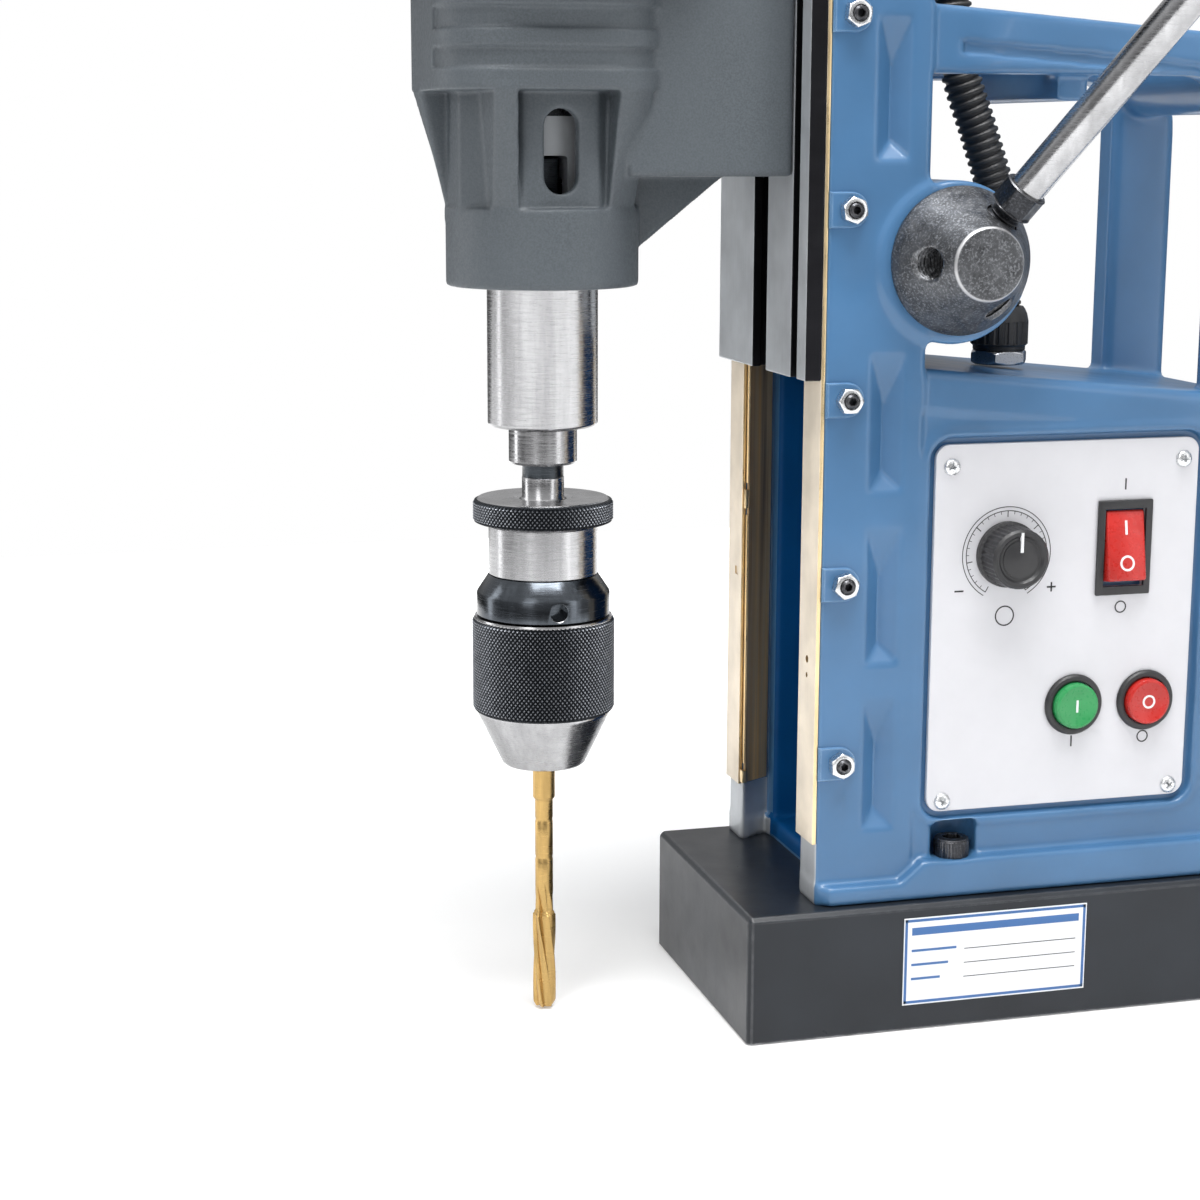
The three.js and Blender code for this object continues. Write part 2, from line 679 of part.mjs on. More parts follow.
// ---------------------------------------------------------------- carriage
function carriage() {
  const plateBack = -84.5;
  const stretch = Math.hypot(1, FLANK_SLOPE);
  const flank = (x, mouth, side) =>
    mouth + side * ((x - RAIL_X) * FLANK_SLOPE - (GIB_THICK + 0.35) * stretch);
  const back = GROOVE_FLOOR - 1;
  const plan = outline([
    [SLIDE_FRONT, -SLIDE_HALF],
    [plateBack, -SLIDE_HALF],
    [plateBack, flank(plateBack, MOUTH_NEAR, -1)],
    [back, flank(back, MOUTH_NEAR, -1)],
    [back, flank(back, MOUTH_FAR, 1)],
    [plateBack, flank(plateBack, MOUTH_FAR, 1)],
    [plateBack, SLIDE_HALF],
    [SLIDE_FRONT, SLIDE_HALF],
    [SLIDE_FRONT, 8.3],
    [SLIDE_FRONT + 3.5, 8.3],
    [SLIDE_FRONT + 3.5, 12],
    [SLIDE_FRONT + 8, 12],
    [SLIDE_FRONT + 8, -10],
    [SLIDE_FRONT + 3.5, -10],
    [SLIDE_FRONT + 3.5, -6.2],
    [SLIDE_FRONT, -6.2],
    [SLIDE_FRONT, -32],
    [SLIDE_FRONT + 3, -32],
    [SLIDE_FRONT + 3, -37.9],
    [SLIDE_FRONT, -37.9],
  ]);
  return raised(plan, SLIDE_BOTTOM, SLIDE_TOP);
}

// The rack: a bar with stub teeth towards the pinion, a gap level with the pinion's axis.
function rack() {
  const pitch = Math.PI * RACK_MODULE;
  const line = FEED_X - PINION_RADIUS;
  const [tip, root] = [line + 0.7 * RACK_MODULE, line - 1.1 * RACK_MODULE];
  const back = GROOVE_FLOOR - 1 + SEAT;
  const points = [[back, SLIDE_BOTTOM + 2]];
  const first = Math.ceil((SLIDE_BOTTOM + 6 - FEED_Z) / pitch - 0.5) + 0.5;
  const last = Math.floor((SLIDE_TOP - 8 - FEED_Z) / pitch - 0.5) + 0.5;
  points.push([root, SLIDE_BOTTOM + 2]);
  for (let tooth = first; tooth <= last; tooth++) {
    const z = FEED_Z + tooth * pitch;
    points.push([root, z - 0.29 * pitch], [tip, z - 0.12 * pitch]);
    points.push([tip, z + 0.12 * pitch], [root, z + 0.29 * pitch]);
  }
  points.push([root, SLIDE_TOP - 2], [back, SLIDE_TOP - 2]);
  return sideways(outline(points), CHANNEL_Y - 10, CHANNEL_Y + 10);
}

// ---------------------------------------------------------------- drill head, about the spindle's axis
const HOUSING_OUTLINE = { x0: -42.5, x1: 37, half: 40, corner: 22 };

// Points round a rounded rectangle at height z, grown by extra.
function housingLoop(z, extra = 0, steps = 5) {
  const { x0, x1, half, corner } = HOUSING_OUTLINE;
  const r = corner + extra;
  const points = [];
  [
    [x1 - corner, half - corner, 0],
    [x0 + corner, half - corner, 1],
    [x0 + corner, corner - half, 2],
    [x1 - corner, corner - half, 3],
  ].forEach(([cx, cy, quarter]) => {
    for (let i = 0; i <= steps; i++) {
      const angle = ((quarter + i / steps) * Math.PI) / 2;
      points.push([cx + r * Math.cos(angle), cy + r * Math.sin(angle), z]);
    }
  });
  return points;
}

function circleLoop(cx, radius, z, count = 32) {
  return Array.from({ length: count }, (_, i) => {
    const angle = (i / count) * 2 * Math.PI;
    return [cx + radius * Math.cos(angle), radius * Math.sin(angle), z];
  });
}

function gearboxHousing() {
  const collar = hull([
    ...circleLoop(0, COLLAR_RADIUS, HOUSING_BOTTOM),
    ...circleLoop(0, COLLAR_RADIUS, COLLAR_TOP + 1),
  ]);
  const core = raised(roundedOutline(-33.5, 33.5, -33.5, 33.5, 16), COLLAR_TOP - 8, TAPER_TOP + PAST, 4);
  const taper = hull([...circleLoop(0, COLLAR_RADIUS, COLLAR_TOP), ...housingLoop(TAPER_TOP, -1.4)]);
  const ribs = join(
    [31, -35, 120, 205].map((degrees) => {
      const slab = new THREE.BoxGeometry(9.5, 66, COLLAR_TOP).translate(0, -33, TAPER_TOP - 18);
      return solid(slab.rotateZ((-degrees * Math.PI) / 180));
    }),
  );
  const upper = hull([...housingLoop(TAPER_TOP), ...housingLoop(356)]);
  const flange = [364, HOUSING_TOP].flatMap((z) => [
    ...circleLoop(0, MOTOR_RADIUS + 1.5, z, 28),
    ...circleLoop(LAY_X, 38, z, 28),
  ]);
  const shoulder = hull([...housingLoop(355), ...flange.slice(0, 56)]);
  const bracketBack = SLIDE_FRONT - SPINDLE_X - GAP;
  const bracket = box(20, bracketBack, -32, 32, 296.8, 372);
  const gusset = sideways(outline([[10, 258 + 6], [56, 300], [10, 300]]), -4, 4);
  const head = [collar, core, taper.intersect(ribs), upper, shoulder, hull(flange)];
  const outside = join([...head, bracket, gusset]);
  const driftWay = [
    alongY(-1.4, 297.6, -45, 0, 5.6, 16),
    alongY(-1.4, 314.1, -45, 0, 5.6, 16),
    box(-7, 4.2, -45, 0, 297.6, 314.1),
  ];
  return cut(outside, [
    alongZ(0, 0, HOUSING_BOTTOM - PAST, 263, 20.5, 32),
    alongZ(0, 0, 262, 273, 26, 32),
    alongZ(0, 0, 272, 338, 24, 32),
    alongZ(0, 0, 336.5, 352, 30.6, 36),
    alongZ(0, 0, 351, 362, 21, 32),
    alongZ(0, 0, 361, HOUSING_TOP + PAST, 14, 24),
    alongZ(LAY_X, 0, 332, 372, 11.8, 24),
    alongZ(LAY_X, 0, 368, HOUSING_TOP - 8, 33.4, 36),
    alongZ(LAY_X, 0, HOUSING_TOP - 9, HOUSING_TOP + PAST, 7, 20),
    ...driftWay,
  ]);
}

function motorHousing() {
  const floor = HOUSING_TOP + SEAT;
  const shell = turned(
    [
      [11, floor],
      [MOTOR_RADIUS, floor],
      [MOTOR_RADIUS, MOTOR_TOP],
      [47, MOTOR_TOP],
      [47, floor + 6],
      [11, floor + 6],
      [11, floor],
    ],
    36,
  );
  const vents = Array.from({ length: 10 }, (_, i) => {
    const angle = ((i + 0.5) / 10) * 2 * Math.PI;
    const slot = new THREE.BoxGeometry(12, 5, 16).translate(MOTOR_RADIUS - 2, 0, 408);
    return solid(slot.rotateZ(angle));
  });
  return cut(shell, vents);
}

function topCap() {
  const floor = MOTOR_TOP + SEAT;
  const dome = turned(
    [
      [46, floor],
      [MOTOR_RADIUS, floor],
      [MOTOR_RADIUS, CAP_TOP - 16],
      [MOTOR_RADIUS - 5, CAP_TOP - 5],
      [MOTOR_RADIUS - 16, CAP_TOP],
      [0, CAP_TOP],
      [0, CAP_TOP - 4],
      [34, CAP_TOP - 4],
      [46, CAP_TOP - 15],
      [46, floor],
    ],
    36,
  );
  const vents = Array.from({ length: 12 }, (_, i) => {
    const slot = new THREE.BoxGeometry(14, 4.5, 14).translate(MOTOR_RADIUS - 2, 0, MOTOR_TOP + 24);
    return solid(slot.rotateZ(((i + 0.5) / 12) * 2 * Math.PI));
  });
  const rear = MOTOR_RADIUS + 2;
  const glandSeat = rod([44, 0, GLAND_Z], [rear, 0, GLAND_Z], 12, 12, 20);
  const wireWay = rod([40, 0, GLAND_Z], [rear + PAST, 0, GLAND_Z], 6, 6, 16);
  return cut(dome.add(glandSeat), [...vents, wireWay]);
}

function armature() {
  const pinionGeometry = new THREE.ExtrudeGeometry(gearOutline(10, 1.25, Math.PI / 10), {
    depth: 13,
    bevelEnabled: false,
  }).translate(0, 0, 371);
  const shaft = turned(
    [
      [0, 370],
      [4.4, 370],
      [4.4, 385],
      [6, 385],
      [6, 414],
      [27.5, 416],
      [27.5, 468],
      [12, 474],
      [12, 482],
      [16, 482],
      [16, 506],
      [8, 507],
      [6, 508],
      [6, 540],
      [0, 540],
    ],
    24,
  );
  return solid(pinionGeometry).add(shaft);
}

function coolingFan() {
  const disc = ring(6 + GAP, 44, 404, 406.5, 32);
  const blades = Array.from({ length: 9 }, (_, i) => {
    const blade = new THREE.BoxGeometry(26, 2, 7).translate(29, 0, 409.5);
    return solid(blade.rotateZ((i / 9) * 2 * Math.PI));
  });
  return join([disc, ring(6 + GAP, 11, 404, 412, 20), ...blades]);
}

function brushHolder(side) {
  const [near, far] = side < 0 ? [-46.2, -16.5] : [16.5, 46.2];
  return box(-4.5, 4.5, near, far, 488, 500);
}

function layShaft() {
  const pinionGeometry = new THREE.ExtrudeGeometry(gearOutline(12, 1.5, Math.PI / 12), {
    depth: 13,
    bevelEnabled: false,
  }).translate(LAY_X, 0, 338);
  return solid(pinionGeometry).add(alongZ(LAY_X, 0, 333, 394, 6, 20));
}

function layWheel() {
  const blank = raised(gearOutline(50, 1.25), 373, 383);
  return cut(blank, [alongZ(0, 0, 370, 386, 6 + GAP, 20)]);
}

function spindle() {
  const shaft = turned(
    [
      [12.2, 212],
      [18, 212],
      [19, 213],
      [19, 262],
      [20, 262],
      [20, 280],
      [18, 280],
      [18, 337],
      [15, 337],
      [15, 353],
      [12, 353],
      [12, 364],
      [8, 366],
      [0, 366],
      [0, 296],
      [10.4, 296],
      [12.2, 212],
    ],
    32,
  );
  return cut(shaft, [box(-4.2, 4.2, -30, 30, 290, 316)]);
}

function spindleGear() {
  return cut(raised(gearOutline(38, 1.5), 338.5, 350.5), [alongZ(0, 0, 336, 353, 15 + GAP, 28)]);
}

function arbor() {
  const shank = turned(
    [
      [0, 165],
      [7.2, 165],
      [7.9, 186.5],
      [7.3, 187.5],
      [7.3, 198],
      [11, 199],
      [11.8, 200],
      [11.8, 211],
      [11.85, 212.5],
      [10.05, 288],
      [0, 288],
    ],
    28,
  );
  return shank.add(box(-3.9, 3.9, -8.5, 8.5, 287, 303));
}

function chuckBody() {
  return turned(
    [
      [10.3, 112],
      [16, 112],
      [16, 145.8],
      [23.3, 145.8],
      [23.3, 154],
      [19, 160],
      [19, 178.5],
      [24.5, 178.5],
      [24.5, 186],
      [22.5, CHUCK_TOP],
      [8.2, CHUCK_TOP],
      [7.5, 164.6],
      [4.6, 164.6],
      [4.6, 142],
      [10.3, 142],
      [10.3, 112],
    ],
    36,
  );
}

function chuckSleeve() {
  return turned(
    [
      [10.6, 92],
      [14.7, 92],
      [23.5, 111],
      [SLEEVE_RADIUS, 112.4],
      [SLEEVE_RADIUS, 144.5],
      [24, 145.5],
      [16.3, 145.5],
      [16.3, 111.5],
      [10.6, 111.5],
      [10.6, 92],
    ],
    40,
  );
}

// One jaw: a flat inner face on the shank, its back leaning out towards the tip's far end.
function jaw(angle) {
  const inner = SHANK_RADIUS + 0.1;
  const points = [];
  for (const [z, outer] of [
    [92.4, inner + 1.6],
    [96, inner + 3.1],
    [128, inner + 3.1],
  ]) {
    for (const side of [-1, 1]) {
      points.push([inner, side * 1.3, z], [outer, side * 2.1, z]);
    }
  }
  return solid(new ConvexGeometry(points.map((p) => new THREE.Vector3(...p))).rotateZ(angle));
}

function reamer() {
  return turned(
    [
      [0, 0.8],
      [3.2, 0.8],
      [4.1, 2.4],
      [4.1, 35.2],
      [3.2, 36.4],
      [3.2, 78],
      [SHANK_RADIUS, 79],
      [SHANK_RADIUS, 127],
      [0, 127],
    ],
    18,
  );
}

// ---------------------------------------------------------------- assembly
function placed(object, x, y, z) {
  object.position.set(x, y, z);
  return object;
}

function gathered(meshes, x = 0, y = 0, z = 0) {
  const group = new THREE.Group();
  group.add(...meshes);
  return placed(group, x, y, z);
}

const stand = gathered([
  piece("magnet_base", magnetBase(), BLACK_PAINT),
  piece("magnet_coil_front", coil(-COIL_X), COPPER),
  piece("magnet_coil_rear", coil(COIL_X), COPPER),
  piece("frame_casting", frameCasting(), BLUE_PAINT),
  piece("wear_strip_near", wearStrip(SIDE_NEAR, MOUTH_NEAR - GAP), BRASS),
  piece("wear_strip_far", wearStrip(MOUTH_FAR + GAP, SIDE_FAR), BRASS),
  piece("gib_near", gibStrip(-1), BRASS),
  piece("gib_far", gibStrip(1), BRASS),
  ...gibScrewHeights().map((z, i) => piece(`gib_screw_${i + 1}`, gibScrew(z), ZINC)),
  ...footScrewPlaces().map((place, i) => piece(`foot_screw_${i + 1}`, footScrew(place), BLACK_STEEL)),
  piece("far_cover", farCover(), BLUE_PAINT),
  piece("body_gland", glandGeometry(7).translate(1, 0, bodyTop(1) + 1.4), BLACK_PLASTIC),
  piece(
    "mains_gland",
    glandGeometry(4).rotateY(Math.PI / 2).translate(BODY_REAR + SEAT, 24, 84),
    BLACK_PLASTIC,
  ),
  piece("conduit", conduit(), BLACK_PLASTIC),
]);

const controls = gathered([
  piece("control_panel", controlPanel(), WHITE_PLATE),
  piece("switch_block", switchBlock(), BLACK_PLASTIC),
  piece("speed_sensor", speedSensor(), BLACK_PLASTIC),
  piece("controller_board", controllerBoard(), BOARD),
  placed(piece("speed_knob", speedKnob(), BLACK_PLASTIC), DIAL.x, -42, DIAL.z),
  placed(piece("magnet_switch", rocker(), RED), ROCKER.x, -41, ROCKER.z),
  placed(piece("start_button", pushButton(), GREEN), START_X, -42, BUTTON_Z),
  placed(piece("stop_button", pushButton(), RED), STOP_X, -42, BUTTON_Z),
]);

const feed = gathered(
  [
    piece("feed_hub", feedHub(), BLACK_STEEL),
    piece("spoke", spoke(), BLACK_STEEL),
    piece("spoke_knob", spokeKnob(), BLACK_PLASTIC),
    piece("pinion_shaft", pinionShaft(), GROUND_STEEL),
    piece("feed_bush_near", feedBushNear(), BRASS),
    piece("feed_bush_far", feedBushFar(), BRASS),
  ],
  FEED_X,
  0,
  FEED_Z,
);

const slide = gathered([
  piece("carriage", carriage(), BLACK_STEEL),
  piece("rack", rack(), GROUND_STEEL),
]);

const head = gathered(
  [
    piece("gearbox_housing", gearboxHousing(), GREY_CAST),
    piece("motor_housing", motorHousing(), GREY_CAST),
    piece("top_cap", topCap(), BLACK_PLASTIC),
    piece(
      "motor_gland",
      glandGeometry(7).rotateY(Math.PI / 2).translate(MOTOR_RADIUS + 2 + SEAT, 0, GLAND_Z),
      BLACK_PLASTIC,
    ),
    piece("stator", turnedGeometry(ringProfile(28.6, 46.6, 416, 468)), COPPER),
    piece("brush_holder_near", brushHolder(-1), BRASS),
    piece("brush_holder_far", brushHolder(1), BRASS),
    piece("armature", armature(), COPPER),
    piece("cooling_fan", coolingFan(), BLACK_PLASTIC),
    piece("armature_bearing", ring(6 + GAP, 10.7, 397.5, 402, 24), GROUND_STEEL),
    piece("lay_shaft", layShaft(), GROUND_STEEL),
    placed(piece("lay_wheel", layWheel(), GROUND_STEEL), LAY_X, 0, 0),
    piece("spindle", spindle(), GROUND_STEEL),
    piece("spindle_gear", spindleGear(), GROUND_STEEL),
    piece("spindle_bearing_lower", ring(20 + GAP, 25.7, 264, 272, 32), GROUND_STEEL),
    piece("spindle_bearing_upper", ring(12 + GAP, 20.7, 353.5, 361, 32), GROUND_STEEL),
    piece("arbor", arbor(), GROUND_STEEL),
    piece("chuck_body", chuckBody(), GROUND_STEEL),
    piece("chuck_sleeve", chuckSleeve(), BLACK_STEEL),
    ...[0, 1, 2].map((i) => piece(`jaw_${i + 1}`, jaw((i * 2 * Math.PI) / 3), GROUND_STEEL)),
    piece("reamer", reamer(), GOLD_COAT),
  ],
  SPINDLE_X,
);

const magneticDrillPress = gathered([stand, controls, feed, slide, head]);
magneticDrillPress.name = "magnetic_drill_press";

export default magneticDrillPress;
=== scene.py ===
"""The looks of a magnetic drill press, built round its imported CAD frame.

Lengths are in millimetres in the row frame (origin under the magnet's centre, +Z up, the spindle
towards -X and the feed lever towards -Y) and become metres when a mesh is made.
"""

import json
import math

import bmesh
import bpy
import numpy as np
from mathutils import Matrix, Vector

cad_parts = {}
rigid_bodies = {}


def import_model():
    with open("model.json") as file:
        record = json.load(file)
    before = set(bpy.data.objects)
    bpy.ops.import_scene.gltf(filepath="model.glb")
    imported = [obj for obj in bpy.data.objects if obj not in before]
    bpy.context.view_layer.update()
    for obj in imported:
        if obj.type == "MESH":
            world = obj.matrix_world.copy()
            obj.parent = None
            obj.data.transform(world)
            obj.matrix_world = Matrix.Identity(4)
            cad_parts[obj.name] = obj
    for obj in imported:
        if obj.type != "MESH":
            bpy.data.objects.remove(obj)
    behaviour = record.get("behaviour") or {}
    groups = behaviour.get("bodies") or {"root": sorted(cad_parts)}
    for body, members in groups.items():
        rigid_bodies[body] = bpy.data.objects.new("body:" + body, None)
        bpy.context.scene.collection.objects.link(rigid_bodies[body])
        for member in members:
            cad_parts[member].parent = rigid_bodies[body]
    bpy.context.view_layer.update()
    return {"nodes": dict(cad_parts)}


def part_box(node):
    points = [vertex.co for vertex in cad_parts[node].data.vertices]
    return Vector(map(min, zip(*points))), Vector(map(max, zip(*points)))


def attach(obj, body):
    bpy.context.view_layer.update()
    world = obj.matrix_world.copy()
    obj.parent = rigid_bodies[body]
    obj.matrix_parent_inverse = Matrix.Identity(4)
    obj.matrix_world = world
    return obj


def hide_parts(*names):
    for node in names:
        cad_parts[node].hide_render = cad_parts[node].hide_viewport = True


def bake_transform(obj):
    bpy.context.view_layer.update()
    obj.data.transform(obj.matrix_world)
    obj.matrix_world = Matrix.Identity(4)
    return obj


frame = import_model()
NODES = frame["nodes"]
MM = 0.001

# ------------------------------------------------------------------ driving dimensions
SPINDLE = (-169.0, 0.0)  # the spindle's axis
FEED = (-36.0, 269.0)  # x and z of the feed shaft
RAIL_X = -82.7
COLUMN_BACK = -47.1
COLUMN_TOP = 376.0
NEAR, FAR = -46.0, 50.0  # side faces of the column
BODY_NEAR, BODY_FAR = -45.0, 49.0
BODY_REAR = 96.0
CAST_BOTTOM = 46.05
WINDOW_REAR, WINDOW_TOP = 62.0, 330.6
POST_REAR = 88.0
GIB_SCREW_HEIGHTS = [349.2 - i * 63.1 for i in range(5)]
RECESS_TOPS = (349.3, 238.2, 178.2, 118.9)
FOOT_SCREWS = ((-30.5, -43.0), (-30.5, 47.0), (84.0, -43.0), (84.0, 47.0))
PANEL = (-41.0, 59.0, 76.0, 206.5)
DIAL = (-13.6, 167.5)
ROCKER = (31.0, 168.0)
START_X, STOP_X, BUTTON_Z = 14.0, 42.0, 112.0
MOTOR_GLAND_Z = 540.0


# ------------------------------------------------------------------ camera, floor and light
def add_camera():
    data = bpy.data.cameras.new("camera")
    data.sensor_width = 36.0
    data.lens = 69.73
    data.clip_start, data.clip_end = 0.05, 200.0
    camera = bpy.data.objects.new("camera", data)
    bpy.context.scene.collection.objects.link(camera)
    azimuth, pitch, roll = math.radians(-15.03), math.radians(11.16), math.radians(0.1)
    back = Vector(
        (math.sin(azimuth) * math.cos(pitch), -math.cos(azimuth) * math.cos(pitch), math.sin(pitch))
    )
    turn = (-back).to_track_quat("-Z", "Y").to_matrix() @ Matrix.Rotation(roll, 3, "Z")
    camera.matrix_world = Matrix.Translation((-0.3572, -0.7776, 0.3082)) @ turn.to_4x4()
    bpy.context.scene.camera = camera
    bpy.context.scene.view_settings.view_transform = "Standard"


def add_softbox(name, place, aim, size, power):
    data = bpy.data.lights.new(name, "AREA")
    data.shape = "RECTANGLE"
    data.size, data.size_y = size
    data.energy = power
    light = bpy.data.objects.new(name, data)
    bpy.context.scene.collection.objects.link(light)
    light.location = place
    light.rotation_euler = (Vector(aim) - Vector(place)).to_track_quat("-Z", "Y").to_euler()


def node(tree, kind, inputs=None, **settings):
    """A new shader node. An input is a plain value, or the output that feeds it."""
    made = tree.nodes.new("ShaderNode" + kind)
    for name, value in settings.items():
        setattr(made, name, value)
    for name, value in (inputs or {}).items():
        if isinstance(value, bpy.types.NodeSocket):
            tree.links.new(value, made.inputs[name])
        else:
            made.inputs[name].default_value = value
    return made


def ramped(tree, value, start, end, low=0.0, high=1.0):
    """A value carried from one range to another and held at its ends."""
    span = {"Value": value, "From Min": start, "From Max": end, "To Min": low, "To Max": high}
    return node(tree, "MapRange", span).outputs["Result"]


def add_studio():
    world = bpy.data.worlds.new("studio")
    bpy.context.scene.world = world
    world.use_nodes = True
    tree = world.node_tree
    tree.nodes.clear()
    way = node(tree, "TexCoord").outputs["Generated"]
    height = node(tree, "SeparateXYZ", {0: way}).outputs["Z"]
    sky = node(tree, "ValToRGB", {"Fac": ramped(tree, height, -1.0, 1.0)})
    low, high = sky.color_ramp.elements
    low.position, low.color = 0.30, (0.30, 0.30, 0.31, 1.0)
    high.position, high.color = 0.90, (1.0, 1.0, 1.0, 1.0)
    # reflections see soft upright bands, as from the gaps between the studio's screens,
    # and an even brightness above the horizon
    level = node(tree, "VectorMath", {0: way, 1: (1.0, 1.0, 0.0)}, operation="MULTIPLY")
    level = level.outputs["Vector"]
    screens = node(tree, "TexNoise", {"Scale": 2.1, "Detail": 1.0, "Vector": level})
    bands = ramped(tree, screens.outputs["Fac"], 0.40, 0.60, 0.10, 0.82)
    above = ramped(tree, height, -0.05, 0.20, 0.0, 0.9)
    mirrored = node(tree, "Math", {0: bands, 1: above}, operation="MAXIMUM").outputs["Value"]
    ray = node(tree, "LightPath").outputs
    strength = node(tree, "Mix", {"Factor": ray["Is Glossy Ray"], "A": 0.36, "B": mirrored})
    lit = {"Color": sky.outputs["Color"], "Strength": strength.outputs["Result"]}
    lit = node(tree, "Background", lit).outputs[0]
    seen = node(tree, "Background", {"Color": (1.0, 1.0, 1.0, 1.0)}).outputs[0]
    shown = node(tree, "MixShader", {"Fac": ray["Is Camera Ray"], 1: lit, 2: seen})
    node(tree, "OutputWorld", {"Surface": shown.outputs[0]})

    middle = (-0.08, 0.0, 0.2)
    add_softbox("key", (-1.4, -1.5, 1.2), middle, (0.7, 1.5), 9)
    add_softbox("fill", (1.2, -1.6, 0.6), middle, (0.5, 1.5), 5)
    add_softbox("top", (-0.15, -0.45, 1.75), middle, (1.2, 0.7), 40)
    add_softbox("left_edge", (-1.6, 0.7, 0.5), middle, (0.35, 1.4), 6)


# ------------------------------------------------------------------ materials
def material(name, colour, roughness, metallic=0.0, coat=0.0, specular=0.5):
    """A material whose principled shader and coordinates later calls build on."""
    made = bpy.data.materials.new(name)
    made.use_nodes = True
    shader = made.node_tree.nodes["Principled BSDF"]
    shader.inputs["Base Color"].default_value = (*colour, 1.0)
    shader.inputs["Roughness"].default_value = roughness
    shader.inputs["Metallic"].default_value = metallic
    shader.inputs["Coat Weight"].default_value = coat
    shader.inputs["Coat Roughness"].default_value = 0.08
    shader.inputs["Specular IOR Level"].default_value = specular
    return made


def noise(made, scale, detail=3.0, stretch=(1.0, 1.0, 1.0), roughness=0.5):
    """A noise over the row frame: scale is features per metre, stretch squeezes it on each axis."""
    tree = made.node_tree
    place = node(tree, "TexCoord").outputs["Object"]
    squeezed = node(tree, "Mapping", {"Vector": place, "Scale": stretch}).outputs["Vector"]
    look = {"Vector": squeezed, "Scale": scale, "Detail": detail, "Roughness": roughness}
    return node(tree, "TexNoise", look).outputs["Fac"]


def remapped(made, value, low, high, start=0.3, end=0.7):
    return ramped(made.node_tree, value, start, end, low, high)


def mixed(made, share, first, second):
    """One colour over another by a share; either may be a plain colour or an output."""
    first, second = ((*c, 1.0) if isinstance(c, tuple) else c for c in (first, second))
    inputs = {"Factor": share, 6: first, 7: second}
    return node(made.node_tree, "Mix", inputs, data_type="RGBA").outputs[2]


def feed(made, socket, value):
    made.node_tree.links.new(value, made.node_tree.nodes["Principled BSDF"].inputs[socket])


def bump(made, height, distance):
    """Relief from a height; the distance is in millimetres."""
    inputs = {"Strength": 1.0, "Distance": distance * MM, "Height": height}
    feed(made, "Normal", node(made.node_tree, "Bump", inputs).outputs["Normal"])


def calculated(made, operation, first, second):
    """A math node over two outputs."""
    return node(made.node_tree, "Math", {0: first, 1: second}, operation=operation).outputs["Value"]


def edges(made, radius=0.8, most=0.93):
    """A mask of the convex edges, which the looks lighten as a painted highlight and as wear."""
    tree = made.node_tree
    rounded = node(tree, "Bevel", {"Radius": radius * MM}, samples=4).outputs["Normal"]
    true = node(tree, "NewGeometry").outputs
    turn = node(tree, "VectorMath", {0: rounded, 1: true["Normal"]}, operation="DOT_PRODUCT")
    bent = remapped(made, turn.outputs["Value"], 1.0, 0.0, most, 0.99)
    convex = remapped(made, true["Pointiness"], 0.0, 1.0, 0.495, 0.515)
    broken = remapped(made, noise(made, 240, 3), 0.35, 1.0)
    return calculated(made, "MULTIPLY", calculated(made, "MULTIPLY", bent, convex), broken)


def off_axis(made, centre, across):
    """Distance from a line through a centre, in metres; across keeps the axes that count."""
    tree = made.node_tree
    place = node(tree, "TexCoord").outputs["Object"]
    middle = tuple(c * MM for c in centre)
    shift = node(tree, "VectorMath", {0: place, 1: middle}, operation="SUBTRACT").outputs["Vector"]
    flat = node(tree, "VectorMath", {0: shift, 1: across}, operation="MULTIPLY").outputs["Vector"]
    return node(tree, "VectorMath", {0: flat}, operation="LENGTH").outputs["Value"]


def grown(colour, factor):
    return tuple(min(1.0, c * factor) for c in colour)


def enamel(name, colour, roughness=0.32, peel=0.025, mottle=0.12, coat=0.35, wear_and_highlight=None, shine=0.5):
    """Sprayed enamel over a casting: orange peel, slow tone changes, and convex edges lightened as
    a painted highlight and wear.
    """
    made = material(name, colour, roughness, coat=coat, specular=shine)
    tone = remapped(made, noise(made, 22, 4), 0.0, 1.0)
    painted = mixed(made, tone, grown(colour, 1 - mottle), grown(colour, 1 + mottle))
    if wear_and_highlight:
        # painted highlight and wear: the convex edges are lightened towards the given colour
        painted = mixed(made, edges(made, 1.1, 0.9), painted, wear_and_highlight)
    feed(made, "Base Color", painted)
    cloud = noise(made, 90, 3)
    feed(made, "Roughness", remapped(made, cloud, roughness - 0.05, roughness + 0.09, 0.15, 0.85))
    bump(made, noise(made, 420, 2), peel)
    return made


def powder_coat(name, colour):
    """A fine textured coat on a die casting, its convex edges lightened as a painted highlight."""
    roughness = 0.55
    made = material(name, colour, roughness)
    tone = remapped(made, noise(made, 30, 4), 0.0, 1.0)
    speck = remapped(made, noise(made, 1600, 2), 0.0, 1.0, 0.35, 0.65)
    painted = mixed(made, tone, grown(colour, 0.93), grown(colour, 1.07))
    flecked = mixed(made, speck, painted, grown(colour, 1.25))
    # painted highlight: the convex edges are lightened 2.4 times
    feed(made, "Base Color", mixed(made, edges(made), flecked, grown(colour, 2.4)))
    feed(made, "Roughness", remapped(made, noise(made, 700, 2), roughness - 0.1, roughness + 0.1))
    bump(made, noise(made, 1500, 2), 0.05)
    return made


